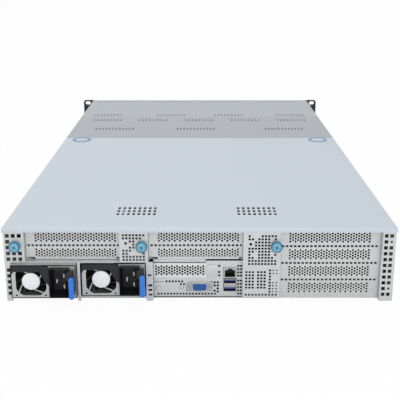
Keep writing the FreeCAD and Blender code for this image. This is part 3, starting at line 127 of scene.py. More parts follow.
# %% Brushed grain: noise drawn out along one axis
def make_grain_group():
    group, enter, leave = new_group(
        "brushed grain",
        [("Vector", "NodeSocketVector", None), ("Stretch", "NodeSocketVector", (20.0, 900.0, 900.0)),
         ("Low", "NodeSocketFloat", 0.3), ("High", "NodeSocketFloat", 0.5)],
        [("Roughness", "NodeSocketFloat"), ("Height", "NodeSocketFloat")])
    stretch = group.nodes.new("ShaderNodeVectorMath")
    stretch.operation = "MULTIPLY"
    noise = group.nodes.new("ShaderNodeTexNoise")
    set_inputs(noise, Scale=1.0, Detail=3)
    ramp = group.nodes.new("ShaderNodeMapRange")
    set_inputs(ramp, From_Min=0.3, From_Max=0.7)
    wire(group, (enter.outputs["Vector"], stretch.inputs[0]), (enter.outputs["Stretch"], stretch.inputs[1]),
         (stretch.outputs[0], noise.inputs["Vector"]), (noise.outputs["Fac"], ramp.inputs["Value"]),
         (enter.outputs["Low"], ramp.inputs["To Min"]), (enter.outputs["High"], ramp.inputs["To Max"]),
         (ramp.outputs["Result"], leave.inputs["Roughness"]), (noise.outputs["Fac"], leave.inputs["Height"]))
    return group


tint_group = make_tint_group()
grain_group = make_grain_group()
print("node groups:", tint_group.name, "and", grain_group.name)


# %% A finish from a few plain values
bump_depth = 0.5 * mm


def finish(title, colour, rough=(0.4, 0.5), metal=0.0, tint=(30.0, 0.06), stretch=(400, 400, 400), bump=0.02,
           coat=0.0):
    material = bpy.data.materials.new(title)
    material.use_nodes = True
    tree = material.node_tree
    shader = tree.nodes["Principled BSDF"]
    place = tree.nodes.new("ShaderNodeTexCoord")
    tinted = tree.nodes.new("ShaderNodeGroup")
    tinted.node_tree = tint_group
    grain = tree.nodes.new("ShaderNodeGroup")
    grain.node_tree = grain_group
    relief = tree.nodes.new("ShaderNodeBump")
    set_inputs(tinted, Colour=(*colour, 1), Size=tint[0], Amount=tint[1])
    set_inputs(grain, Stretch=stretch, Low=rough[0], High=rough[1])
    set_inputs(relief, Strength=bump, Distance=bump_depth)
    set_inputs(shader, Metallic=metal, Coat_Weight=coat)
    wire(tree, (place.outputs["Object"], tinted.inputs["Vector"]),
         (place.outputs["Object"], grain.inputs["Vector"]),
         (tinted.outputs["Colour"], shader.inputs["Base Color"]),
         (grain.outputs["Roughness"], shader.inputs["Roughness"]),
         (grain.outputs["Height"], relief.inputs["Height"]),
         (relief.outputs["Normal"], shader.inputs["Normal"]))
    return material


finishes = {
    "cover_steel": finish("pale satin cover coat", (0.60, 0.65, 0.70), (0.40, 0.50), 0.15, (6.0, 0.03),
                          (1800, 1800, 1800), 0.03),
    "zinc_steel": finish("zinc-plated sheet", (0.66, 0.66, 0.655), (0.34, 0.50), 0.35, (25.0, 0.10),
                         (60, 900, 900), 0.05),
    "bracket_steel": finish("stamped bracket steel", (0.79, 0.785, 0.77), (0.30, 0.45), 0.30, (30.0, 0.10),
                            (50, 700, 1400), 0.04),
    "supply_steel": finish("bright supply case", (0.57, 0.57, 0.56), (0.24, 0.40), 0.6, (22.0, 0.12),
                           (40, 900, 900), 0.04),
    "blue_plastic": finish("pale blue release ring", (0.16, 0.31, 0.54), (0.35, 0.5), 0.0, (40.0, 0.06)),
    "blue_anodised": finish("blue anodised knob", (0.05, 0.26, 0.42), (0.25, 0.4), 0.35, (120.0, 0.15),
                            (900, 100, 900), 0.05),
    "latch_blue": finish("saturated blue latch", (0.015, 0.19, 0.72), (0.25, 0.4), 0.0, (60.0, 0.08),
                         bump=0.02,
                         coat=0.2),
    "black_plastic": finish("moulded black plastic", (0.009, 0.009, 0.011), (0.4, 0.6), 0.0, (60.0, 0.3),
                            (1500, 1500, 1500), 0.08),
    "rotor_plastic": finish("rotor black", (0.010, 0.010, 0.012), (0.3, 0.5), 0.0, (60.0, 0.3)),
    "circuit_board": finish("green solder mask", (0.012, 0.085, 0.045), (0.25, 0.4), 0.0, (80.0, 0.25),
                            (300, 300, 300), 0.03, 0.3),
    "memory_board": finish("memory board", (0.010, 0.060, 0.035), (0.3, 0.45), 0.0, (90.0, 0.25)),
    "cooler_aluminium": finish("plain aluminium", (0.66, 0.67, 0.68), (0.28, 0.45), 0.8, (30.0, 0.08),
                               (900, 40, 900), 0.05),
    "vga_blue": finish("blue socket insert", (0.012, 0.10, 0.36), (0.3, 0.45), 0.0, (90.0, 0.1)),
    "connector_steel": finish("plated connector shell", (0.52, 0.52, 0.515), (0.22, 0.36), 0.75, (60.0, 0.1)),
    "button_plastic": finish("pale button plastic", (0.62, 0.64, 0.66), (0.3, 0.4), 0.0, (80.0, 0.05)),
    "ear_black": finish("black powder coat", (0.014, 0.014, 0.016), (0.45, 0.6), 0.0, (50.0, 0.3),
                        (1600, 1600, 1600), 0.15),
    "carrier_aluminium": finish("dark carrier coat", (0.10, 0.105, 0.115), (0.35, 0.5), 0.3, (40.0, 0.1),
                                (50, 900, 900), 0.05),
    # The middle and front covers carry the rear cover's coat; their darker colours are painted shade, copies of
    # one coat darkened for how the light falls on them.
    "middle_cover_shade": finish("middle cover coat with painted shade", (0.44, 0.455, 0.47), (0.36, 0.48), 0.2, (6.0, 0.04),
                          (1800, 60, 1800), 0.03),
    "front_cover_shade": finish("front cover coat with painted shade", (0.475, 0.495, 0.515), (0.36, 0.48), 0.2, (6.0, 0.04),
                         (1800, 60, 1800), 0.03),
    "contact_gold": finish("gold contact", (0.12, 0.08, 0.03), (0.2, 0.3), 0.9, (60.0, 0.1)),
    "knob_face": finish("pale knob face", (0.19, 0.44, 0.58), (0.25, 0.4), 0.3, (150.0, 0.2),
                        (900, 100, 900), 0.05),
    # The driver recess colour is painted shade: a dark cross stands on the knob instead of a cut slot.
    "knob_recess_shade": finish("painted shade of the driver recess", (0.03, 0.13, 0.20), (0.4, 0.5), 0.2, (90.0, 0.2)),
    "tongue_blue": finish("data tongue", (0.06, 0.10, 0.40), (0.3, 0.45), 0.0, (90.0, 0.1)),
    "hub_white": finish("white hub disc", (0.86, 0.86, 0.885), (0.35, 0.5), 0.0, (60.0, 0.03)),
    "lens": finish("clear status lens", (0.30, 0.42, 0.34), (0.1, 0.2), 0.0, (60.0, 0.1), coat=0.5),
}
for name, item in nodes.items():
    item.data.materials.clear()
    item.data.materials.append(finishes[slot_of_node[name]])
print("finishes:", len(finishes))

# %% [markdown]
# ## Pressed sheet metal
#
# Nearly every part of a server is sheet that a press has punched and folded.  A punched sheet is made the
# same way here: one outline and one loop for every hole are laid flat, the space between them is filled in a
# single step, and the filled face is pushed out to the thickness of the sheet.  It is quicker and cleaner
# than cutting hundreds of holes out of a solid, and each hole costs only a handful of faces.

# %% Loops that become outlines and holes
facing_rear = Matrix.Rotation(math.radians(90), 4, "X")
crisp_angle = math.radians(32)


def loop(shape, centre, size, sides=4):
    """A closed loop of edges: 4 sides make a rectangle of that size, more make an ellipse."""
    turn, reach = (45, math.sqrt(2)) if sides == 4 else (0, 2)
    stretch = Matrix.Diagonal((size[0] / reach, size[1] / reach, 1, 1))
    turned = stretch @ Matrix.Rotation(math.radians(turn), 4, "Z")
    place = Matrix.Translation((centre[0], centre[1], 0)) @ turned
    return bmesh.ops.create_circle(shape, cap_ends=False, segments=sides, radius=1.0, matrix=place)["verts"]


def long_loop(shape, centre, width, length):
    """A slot with round ends that runs along the second axis."""
    for vert in loop(shape, centre, (width, width), 10):
        vert.co.y += math.copysign((length - width) / 2, vert.co.y - centre[1])


def outline(flat, points):
    """A closed loop of edges through any points."""
    verts = [flat.verts.new((point[0], point[1], 0)) for point in points]
    for first, second in zip(verts, verts[1:] + verts[:1]):
        flat.edges.new((first, second))


def holes(flat, places, width, height=None, sides=4):
    """The same hole at each of several places."""
    for place in places:
        loop(flat, place, (width, height or width), sides)


def grid(start, pitch, columns, rows, solid=()):
    """Places in columns and rows; solid names the (column, row) pairs that get no hole."""
    return [(start[0] + pitch[0] * i, start[1] + pitch[1] * j) for i in range(columns) for j in range(rows)
            if (i, j) not in solid]


def blank(left, right, foot, top):
    """A sheet that has only its four sides yet."""
    flat = bmesh.new()
    loop(flat, ((left + right) / 2, (foot + top) / 2), (right - left, top - foot))
    return flat


def thicken(flat, depth):
    """Push a filled flat shape out of its plane."""
    pushed = bmesh.ops.extrude_face_region(flat, geom=flat.faces[:])
    moved = [item for item in pushed["geom"] if isinstance(item, bmesh.types.BMVert)]
    bmesh.ops.translate(flat, vec=(0, 0, depth), verts=moved)
    bmesh.ops.recalc_face_normals(flat, faces=flat.faces[:])


def press(flat, thickness, near):
    """Fill the space between loops, give it thickness and stand it upright, with its rear face at near."""
    bmesh.ops.triangle_fill(flat, use_beauty=True, use_dissolve=False, edges=flat.edges[:])
    thicken(flat, -thickness)
    bmesh.ops.transform(flat, matrix=Matrix.Translation((0, near, 0)) @ facing_rear, verts=flat.verts[:])
    return flat


# %% Blocks, bars and finished pieces
def round_edges(shape, edges, width, steps=2):
    bmesh.ops.bevel(shape, geom=edges, offset=width, offset_type="OFFSET", segments=steps, profile=0.5,
                    affect="EDGES", clamp_overlap=True, material=-1)


def edges_of(made):
    return list({edge for vert in made["verts"] for edge in vert.link_edges})


def add_block(shape, low, high, round_by=0.0, steps=2):
    """A block between two corners, with its edges rounded if asked."""
    low, high = Vector(low), Vector(high)
    place = Matrix.Translation((low + high) / 2) @ Matrix.Diagonal((*(high - low), 1))
    made = bmesh.ops.create_cube(shape, size=1.0, matrix=place)
    if round_by:
        round_edges(shape, edges_of(made), round_by, steps)


def add_bar(shape, radius, low, high, along="Y", sides=24, round_by=0.0):
    """A round bar between two points on an axis."""
    low, high = Vector(low), Vector(high)
    turn = Matrix.Rotation(math.radians(-90 if along == "Y" else 0), 4, "X")
    made = bmesh.ops.create_cone(shape, cap_ends=True, segments=sides, radius1=radius, radius2=radius,
                                 depth=(high - low).length,
                                 matrix=Matrix.Translation((low + high) / 2) @ turn)
    if round_by:
        rims = [edge for edge in edges_of(made) if any(len(face.verts) > 4 for face in edge.link_faces)]
        round_edges(shape, rims, round_by)


def add_rod(shape, radius, centre, near, far, sides=24, round_by=0.0):
    """A round bar from near to far, square to the rear panel."""
    add_bar(shape, radius, (centre[0], near, centre[1]), (centre[0], far, centre[1]), "Y", sides, round_by)


def join_in(shape, other):
    """Add a second bmesh to the first."""
    passing = bpy.data.meshes.new("passing")
    other.to_mesh(passing)
    other.free()
    shape.from_mesh(passing)
    bpy.data.meshes.remove(passing)


def put_in_scene(title, data):
    item = bpy.data.objects.new(title, data)
    bpy.context.scene.collection.objects.link(item)
    return item


def shade(mesh):
    """Smooth shading that stays crisp at folds."""
    mesh.shade_smooth()
    mesh.set_sharp_from_angle(angle=crisp_angle)


def piece_of(title, shape, node, material=None, replaces=True, body=None, paint=None):
    """A finished piece that rides with a node's body; paint is a finish other than the slot's."""
    mesh = bpy.data.meshes.new(title)
    shape.to_mesh(mesh)
    shape.free()
    shade(mesh)
    piece = put_in_scene(title, mesh)
    mesh.materials.append(finishes[paint or material or slot_of_node[node]])
    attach(piece, body or body_of_node[node])
    if replaces:
        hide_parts(node)
    return piece


def extra(title, shape, node, **look):
    """A piece beside the one that stands in for the node's construction shape."""
    piece_of(title, shape, node, replaces=False, **look)


def size_of(node):
    low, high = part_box(node)
    return Vector(low), Vector(high)


def middle_of(node):
    """The centre of a node's box, as seen on the rear panel."""
    low, high = size_of(node)
    return ((low + high) / 2).xz


# %% [markdown]
# ## The three covers
#
# A cover is one sheet with a folded hem on its long sides.  The shell starts as a block without a floor.
# Its folds are rounded, it is given the thickness of the sheet, and all the air slots are cut through it at
# once.

# %% Air slots of a cover
cover_top, cover_sheet, fold_radius = 88 * mm, 1.0 * mm, 1.4 * mm
cut_below, cut_through = 3 * mm, 6 * mm


def slot_rows(centres, columns, pitch, first, row_pitch, rows):
    return [(centre + pitch * (i - (columns - 1) / 2), first + row_pitch * j)
            for centre in centres for j in range(rows) for i in range(columns)]


def settle(piece):
    """Apply a piece's modifiers, so that its mesh is final."""
    graph = bpy.context.evaluated_depsgraph_get()
    solved = bpy.data.meshes.new_from_object(piece.evaluated_get(graph))
    piece.modifiers.clear()
    piece.data = solved
    shade(solved)


def folded_cover(node, slots, slot_size, lip=False, paint=None, seams=()):
    """A cover shell with rounded folds, hems, air slots and long narrow seams across it."""
    low, high = size_of(node)
    shape = bmesh.new()
    add_block(shape, low, (high.x, high.y, cover_top))
    gone = [face for face in shape.faces
            if face.normal.z < -0.9 or face.normal.y > 0.9 or (not lip and face.normal.y < -0.9)]
    bmesh.ops.delete(shape, geom=gone, context="FACES")
    round_edges(shape, [edge for edge in shape.edges if len(edge.link_faces) == 2], fold_radius, 4)
    if lip:
        bmesh.ops.bisect_plane(shape, geom=shape.verts[:] + shape.edges[:] + shape.faces[:],
                               plane_co=(0, low.y + 6 * mm, 0), plane_no=(0, 1, 0))
        hem_foot = [vert for vert in shape.verts if vert.co.z < low.z + 0.1 * mm and vert.co.y < low.y + 5 * mm]
        bmesh.ops.translate(shape, vec=(0, 0, 2 * mm), verts=hem_foot)
    bmesh.ops.recalc_face_normals(shape, faces=shape.faces[:])
    piece = piece_of(node + "_sheet", shape, node, paint=paint)
    thick = piece.modifiers.new("thickness", "SOLIDIFY")
    thick.thickness = cover_sheet
    thick.offset = -1.0
    flat = bmesh.new()
    for centre in slots:
        long_loop(flat, centre, *slot_size)
    for centre, seam_size in seams:
        loop(flat, centre, seam_size)
    bmesh.ops.edgenet_fill(flat, edges=flat.edges[:])
    thicken(flat, cut_through)
    bmesh.ops.translate(flat, vec=(0, 0, cover_top - cut_below), verts=flat.verts[:])
    cutter_mesh = bpy.data.meshes.new(node + "_slots")
    flat.to_mesh(cutter_mesh)
    flat.free()
    cutter = put_in_scene(node + "_slots", cutter_mesh)
    holes_cut = piece.modifiers.new("air slots", "BOOLEAN")
    holes_cut.operation = "DIFFERENCE"
    holes_cut.solver = "EXACT"
    holes_cut.object = cutter
    settle(piece)
    bpy.data.objects.remove(cutter)


# %% Rear, middle and front covers
rear_slots = slot_rows((-74.5 * mm, 67.5 * mm), 8, 6.1 * mm, rear_y + 51 * mm, 11.4 * mm, 3)
folded_cover("rear_cover", rear_slots, (3.4 * mm, 8.6 * mm), lip=True)
mid_y, front_edge_y = (size_of(node)[0].y for node in ("mid_cover", "front_cover"))
mid_slots = slot_rows((-148 * mm, -7 * mm, 146 * mm), 12, 5.8 * mm, mid_y + 66 * mm, 9 * mm, 2)
mid_slots += slot_rows([x * mm for x in (-169, -85, -1, 83, 167)], 9, 6.2 * mm, mid_y + 142 * mm, 9 * mm, 2)
# The middle cover is painted darker, as shade.
folded_cover("mid_cover", mid_slots, (3.0 * mm, 6.4 * mm), paint="middle_cover_shade")
front_slots = slot_rows([x * mm for x in (-173, -54, 54, 170)], 9, 6.2 * mm, front_edge_y + 14 * mm, 9 * mm,
                        2)
hook_seams = [((x * mm, rear_y + 792 * mm), (86 * mm, 3.0 * mm)) for x in (-166, -58, 46, 158)]
# The front cover is painted darker, as shade.
folded_cover("front_cover", front_slots, (3.0 * mm, 6.4 * mm), paint="front_cover_shade", seams=hook_seams)
print("air slots:", len(rear_slots) + len(mid_slots) + len(front_slots))

# %% [markdown]
# The rear cover is freed by two round releases.  Each is a pale blue ring set on the sheet with a light disc
# in its middle.  The ring is turned from a small section, which gives it a rounded rim for nothing.

# %% Release rings and discs
def turned_ring(shape, centre, inner, outer, low, high, steps=40):
    """A ring with rounded rims, spun about an upright axis."""
    section = [(inner, low), (outer, low), (outer, high - 0.4 * mm), (outer - 0.5 * mm, high),
               (inner + 0.5 * mm, high), (inner, high - 0.4 * mm)]
    corners = [shape.verts.new((centre.x + r, centre.y, z)) for r, z in section]
    rim = [shape.edges.new((a, b)) for a, b in zip(corners, corners[1:] + corners[:1])]
    bmesh.ops.spin(shape, geom=corners + rim, cent=(centre.x, centre.y, 0), axis=(0, 0, 1), angle=math.tau,
                   steps=steps, use_merge=True, use_duplicate=False)
    bmesh.ops.recalc_face_normals(shape, faces=shape.faces[:])


for side in ("left", "right"):
    node = "cover_button_" + side
    low, high = size_of(node)
    centre = (low + high) / 2
    ring = bmesh.new()
    turned_ring(ring, centre, 11.6 * mm, 15.0 * mm, 87.9 * mm, 89.0 * mm)
    extra("release_ring_" + side, ring, node, body="cover")
    disc = bmesh.new()
    for radius, foot, top, sides, round_by in [(11.1 * mm, low.z, high.z - 0.3 * mm, 40, 0.6 * mm),
                                               (3.0 * mm, high.z - 0.5 * mm, high.z, 20, 0)]:
        add_bar(disc, radius, (centre.x, centre.y, foot), (centre.x, centre.y, top), "Z", sides, round_by)
    piece_of("release_disc_" + side, disc, node, material="button_plastic")
print("release rings at", round(centre.y, 3))

# %% [markdown]
# ## Blank slot covers
#
# A blank bracket keeps air where it belongs while its slot is empty, so it is punched with a honeycomb of
# small round holes.  Every second column is set down by half a pitch.  Each cover is one pressed sheet.

# %% Staggered holes
def honeycomb(left, right, low, high, pitch, across):
    """Hole centres of a staggered pattern that fits between the four sides."""
    columns = int((right - left) / across) + 1
    start = (left + right - across * (columns - 1)) / 2
    rows = round((high - low) / pitch)
    foot = (low + high - pitch * (rows - 1)) / 2
    return [(start + across * i, foot + pitch * (j + 0.5 * (i % 2)))
            for i in range(columns) for j in range(rows - i % 2)]


slot_low, slot_high = size_of("slot_covers")
slot_pitch = 20.32 * mm
blank_width, blank_height = 94.4 * mm, 13.8 * mm
top_centre = slot_high.z - 7.5 * mm
cages = {name: size_of("riser_cage_" + name) for name in ("left", "middle", "right")}
slot_counts = {"left": 2, "middle": 2, "right": 4}
set_down = {"left": 0.8 * mm, "middle": 0.8 * mm, "right": 1.9 * mm}
slot_heights = {name: [top_centre - set_down[name] - slot_pitch * index for index in range(count)]
                for name, count in slot_counts.items()}


def blank_cover(left, centre_z, width, height, field, near):
    """One perforated sheet with a plain margin above and below its field of holes."""
    flat = bmesh.new()
    loop(flat, (left + width / 2, centre_z), (width, height))
    holes(flat, honeycomb(left + 1.9 * mm, left + width - 1.7 * mm, centre_z - field / 2,
                          centre_z + field / 2,
                          3.25 * mm, 2.98 * mm), 2.7 * mm, sides=8)
    return press(flat, 0.8 * mm, near)


covers = bmesh.new()
for name, heights in slot_heights.items():
    for centre_z in heights:
        join_in(covers, blank_cover(cages[name][0].x + 9 * mm, centre_z, blank_width, blank_height, 13.0 * mm,
                                    slot_low.y))
print("blank covers:", sum(slot_counts.values()), "with", len(covers.faces), "faces")
piece_of("blank_covers", covers, "slot_covers")

low, high = size_of("low_slot_cover")
low_cover = blank_cover(low.x, (low.z + high.z) / 2, high.x - low.x, high.z - low.z, 13.2 * mm, low.y)
piece_of("low_profile_cover", low_cover, "low_slot_cover")

# %% [markdown]
# ## Riser cages
#
# A riser cage carries expansion cards on their side.  Its rear plate has a window for each slot, and between
# two windows runs a row of small square vents.  The plate, the sides and the floor are one folded sheet.

# %% Riser cages
sheet = 1.2 * mm
window = (92.4 * mm, 12.8 * mm)
vent_pitch = 4.6 * mm


def riser_cage(name):
    low, high = cages[name]
    over_bay = name != "right"
    foot = low.z + (3.0 * mm if over_bay else 0)
    flat = blank(low.x, high.x, foot, high.z)
    for index, centre_z in enumerate(slot_heights[name]):
        loop(flat, (low.x + 56.2 * mm, centre_z), window)
        if index:
            vents = grid((low.x + 3.4 * mm, centre_z + slot_pitch / 2), (vent_pitch, 0),
                         int((high.x - low.x) / vent_pitch), 1)
            holes(flat, vents, 3.0 * mm, 2.4 * mm)
    shape = press(flat, sheet, low.y)
    if over_bay:
        ledge = bmesh.new()
        add_block(ledge, (low.x, 0, -3.2 * mm), (high.x, 1.0 * mm, 0))
        slant = Matrix.Rotation(math.radians(38), 3, "X")
        bmesh.ops.rotate(ledge, cent=(0, 0, 0), matrix=slant, verts=ledge.verts[:])
        bmesh.ops.translate(ledge, vec=(0, low.y, foot), verts=ledge.verts[:])
        join_in(shape, ledge)
    floor = low.z if over_bay else 8.2 * mm
    for x in (low.x, high.x - sheet):
        add_block(shape, (x, low.y + sheet, floor), (x + sheet, high.y, high.z - 2.2 * mm))
    add_block(shape, (low.x + sheet, low.y + 2 * sheet, floor), (high.x - sheet, high.y, floor + sheet))
    piece_of("cage_sheet_" + name, shape, "riser_cage_" + name)


for name in cages:
    riser_cage(name)
print("riser cages:", len(cages))

# %% [markdown]
# ## Chassis, brace and rear panel
#
# What is left of the rear wall is as open as the press can make it: columns of square holes beside the
# rails, and a fine square grid wherever no socket needs the room.

# %% Sheets of the rear wall
gap = 0.3 * mm
recess, flange_depth = 8 * mm, 9 * mm
bay_roof = cages["left"][0].z
pan_low, pan_high = size_of("chassis_pan")
bay_low, bay_high = size_of("psu_bay")
screws = {name: middle_of("thumbscrew_" + name) for name in ("left", "middle", "right")}


def add_sheet(shape, flat, near=rear_y):
    join_in(shape, press(flat, sheet, near))


def add_flange(shape, left, foot):
    """An upright strip folded inwards from the rear wall."""
    add_block(shape, (left, rear_y + sheet, foot), (left + sheet, rear_y + flange_depth, pan_high.z))


def holes_round_screw(flat, field, name, reach, side):
    """Square holes wherever a thumbscrew leaves room, and a round one for its shank."""
    x, z = screws[name]
    holes(flat, [place for place in field if max(abs(place[0] - x), abs(place[1] - z)) > reach], side)
    holes(flat, [(x, z)], 5 * mm, sides=12)


# %% The chassis pan with its rear corners
pan = bmesh.new()
inner = pan_high.x - sheet
add_block(pan, (pan_low.x, rear_y + recess, 0), (pan_high.x, front_y, sheet), 0.3 * mm)
for side in (-1, 1):
    left, right = sorted((side * inner, side * pan_high.x))
    add_block(pan, (left, rear_y, 0), (right, front_y, pan_high.z), 0.3 * mm)
    left, right = sorted((side * (inner - 5.5 * mm), side * inner))
    add_block(pan, (left, rear_y + 12 * mm, pan_high.z - sheet), (right, front_y, pan_high.z))
strip = blank(-inner, 5.5 * mm - inner, 0, bay_roof)
holes(strip, grid((2.9 * mm - inner, 9.3 * mm), (0, 7.1 * mm), 1, 5), 4.3 * mm)
add_sheet(pan, strip)
corner_edge = cages["left"][0].x - gap
corner = blank(-inner, corner_edge, bay_roof, pan_high.z)
field = grid((3.5 * mm - inner, 50.9 * mm), (6.7 * mm, 6.95 * mm), 3, 5)
holes_round_screw(corner, field, "left", 7.4 * mm, 4.5 * mm)
add_sheet(pan, corner)
add_flange(pan, corner_edge - sheet, bay_roof)
right_edge = cages["right"][1].x + gap
column = blank(right_edge, inner, 0, pan_high.z)
field = grid((right_edge + 3.9 * mm, 8.0 * mm), (6.0 * mm, 7.06 * mm), 2, 11)
small = [field[12], field[20]]
holes(column, [place for place in field if place not in small], 4.2 * mm)
holes(column, small, 2.6 * mm)
add_sheet(pan, column)
add_flange(pan, right_edge, 0)
print("pan faces:", len(pan.faces))
piece_of("pan_sheet", pan, "chassis_pan")

# %% The supply bay and its brace
bay = bmesh.new()
wall_x = bay_high.x - 7.9 * mm
case_box = size_of("psu_left_case")
bay_floor = case_box[0].z - gap
divider_x = (case_box[1].x + size_of("psu_right_case")[0].x) / 2
for left, right, foot, top in [(bay_low.x, wall_x + sheet, bay_roof - sheet, bay_roof),
                               (wall_x, wall_x + sheet, sheet, bay_roof - sheet),
                               (bay_low.x, wall_x, bay_floor - sheet, bay_floor),
                               (divider_x - sheet / 2, divider_x + sheet / 2, bay_floor, bay_roof - sheet)]:
    add_block(bay, (left, rear_y + sheet, foot), (right, bay_high.y, top))
add_block(bay, (divider_x - 1.6 * mm, rear_y, 0), (divider_x + 1.6 * mm, rear_y + sheet, bay_roof), 0.3 * mm)
foot_plate = blank(wall_x, bay_high.x, 0, bay_roof)
holes(foot_plate, grid((wall_x + 4.6 * mm, 7.6 * mm), (0, 5.7 * mm), 1, 3), 4.4 * mm, 2.7 * mm)
holes(foot_plate, [(wall_x + 4.0 * mm, 31.4 * mm)], 4.0 * mm, 2.2 * mm)
add_sheet(bay, foot_plate)
brace_left, brace_right = cages["left"][1].x + gap, cages["middle"][0].x - gap
brace = blank(brace_left, brace_right, bay_roof, pan_high.z)
solid = {(6, 7), (0, 6), (1, 6), (0, 5), (1, 5), (2, 5), (0, 4), (1, 4), (3, 3), (4, 3), (5, 3), (6, 3),
         (2, 2),
         (3, 2), (4, 2), (5, 2)}
field = grid((brace_left + 4.3 * mm, 50.1 * mm), (3.8 * mm, 3.67 * mm), 7, 9, solid)
holes_round_screw(brace, field, "middle", 6.4 * mm, 2.6 * mm)
holes(brace, [(brace_left + 7.2 * mm, 69.8 * mm)], 3.2 * mm, 3.8 * mm, 12)
add_sheet(bay, brace)
for x in (brace_left, brace_right - sheet):
    add_flange(bay, x, bay_roof)
print("bay faces:", len(bay.faces))
piece_of("bay_sheet", bay, "psu_bay")

# %% The socket panel, set back from the rear wall
panel = bmesh.new()
face_y = rear_y + recess
panel_left = size_of("rear_panel")[0].x
ports_right = cages["middle"][1].x + 0.9 * mm
lan_low, lan_high = size_of("lan_port")
usb_low, usb_high = size_of("usb_ports")
vga_low = size_of("vga_port")[0]
vga_mid = middle_of("vga_port").y
cover_low, cover_high = size_of("low_slot_cover")
stack_x, stack_width = (lan_low.x + lan_high.x) / 2, 15.6 * mm
usb_top = 24.3 * mm
ports = blank(panel_left, ports_right, sheet, cover_low.z)
loop(ports, (stack_x, (usb_low.z + usb_top) / 2), (stack_width, usb_top - usb_low.z + 2 * gap))
loop(ports, (0, vga_mid), (18.2 * mm, 9.4 * mm))
holes(ports, [middle_of("id_button")], 6.4 * mm, sides=16)
foot_row = grid((panel_left + 5.4 * mm, 5.2 * mm), (3.62 * mm, 0), 19, 1)
holes(ports, [place for place in foot_row if place[0] < 23 * mm], 2.3 * mm)
holes(ports, grid((-38 * mm, 20.6 * mm), (3.6 * mm, 0), 6, 1), 2.3 * mm)
for side, places in [(2.3, [(-21.5, 17.2), (-17.9, 17.2), (-14.2, 9.6)]),
                     (2.5, [(13.6, 19.4), (17.2, 19.4), (17.2, 15.6), (20.8, 19.4), (20.8, 15.6),
                            (20.8, 11.8),
                            (17.2, 9.0), (20.8, 8.0)])]:
    holes(ports, [(x * mm, z * mm) for x, z in places], side * mm)
holes(ports, grid((stack_x + 9.6 * mm, 5.4 * mm), (3.1 * mm, 4.0 * mm), 2, 5), 2.4 * mm)
holes(ports, [(-47 * mm, 20.0 * mm)], 11 * mm, 0.7 * mm)
screw_seat = (-20.6 * mm, 13.4 * mm)
holes(ports, [screw_seat], 5.0 * mm, sides=16)
add_rod(panel, 2.2 * mm, screw_seat, face_y + 0.1 * mm, face_y + 3 * mm, 20, 0.3 * mm)
add_sheet(panel, ports, face_y)
tower = blank(cover_high.x, ports_right, cover_low.z, bay_roof - 1.5 * mm)
loop(tower, (stack_x, (cover_low.z + lan_high.z) / 2 + 0.2 * mm),
     (stack_width, lan_high.z - cover_low.z - 0.2 * mm))
holes(tower, [(22.4 * mm, z * mm) for z in (28.0, 32.0, 39.6)], 2.5 * mm)
holes(tower, grid((stack_x + 9.6 * mm, 27.6 * mm), (3.1 * mm, 4.0 * mm), 2, 4), 2.4 * mm)
add_sheet(panel, tower, face_y)
add_block(panel, (panel_left, face_y, sheet), (ports_right, rear_y + 13.7 * mm, sheet + 1 * mm))
add_block(panel, (panel_left, face_y + 2 * mm, cover_high.z + gap),
          (cover_high.x, face_y + 2 * mm + sheet, bay_roof - gap))

# %% The perforated panel of the third thumbscrew
screw_left, screw_right = cages["middle"][1].x + gap, cages["right"][0].x - gap
grid_foot = 4.2 * mm
grid_panel = blank(screw_left, screw_right, grid_foot, pan_high.z)
solid = {(1, 9), (2, 9), (3, 9), (2, 8), (7, 8), (0, 7), (1, 7), (0, 6), (1, 6), (2, 4), (1, 3), (2, 3),
         (7, 3),
         (2, 2), (8, 2)}
field = grid((screw_left + 6.9 * mm, 45.0 * mm), (3.65 * mm, 3.7 * mm), 9, 10, solid)
holes_round_screw(grid_panel, field, "right", 7.4 * mm, 2.5 * mm)
holes(grid_panel, [(screw_left + 8.3 * mm, 68.8 * mm)], 3.4 * mm, sides=12)
for x, z, pitch_x, pitch_z, columns, rows, side, solid in [
        (3.9, 16.2, 3.7, 3.79, 3, 6, 2.5, ()), (17.3, 16.2, 3.7, 3.79, 3, 6, 2.5, ()),
        (30.6, 11.2, 0, 3.73, 1, 8, 2.5, ()),
        (34.3, 11.2, 3.9, 3.73, 2, 8, 1.7, {(0, 4), (0, 5), (1, 4), (1, 5)}),
        (3.6, 7.4, 3.8, 0, 10, 1, 2.4, ())]:
    holes(grid_panel, grid((screw_left + x * mm, z * mm), (pitch_x * mm, pitch_z * mm), columns, rows, solid),
          side * mm)
add_sheet(panel, grid_panel)
for x in (screw_left, screw_right - sheet):
    add_flange(panel, x, grid_foot)
print("rear panel faces:", len(panel.faces))
piece_of("rear_sheet", panel, "rear_panel")

# %% [markdown]
# ## Captive thumbscrews
#
# Each cage is held by a knob that can be turned by hand or driver and never falls out.  The knob is a short
# bar with a knurled rim: its side faces are inset one by one and every second one is pushed in, which leaves
# ribs that fingers can grip.  A dark cross on the head is painted shade, standing in for the driver slot.

# %% Knurled knobs
rib_depth, head_setback = 0.45 * mm, 2.4 * mm


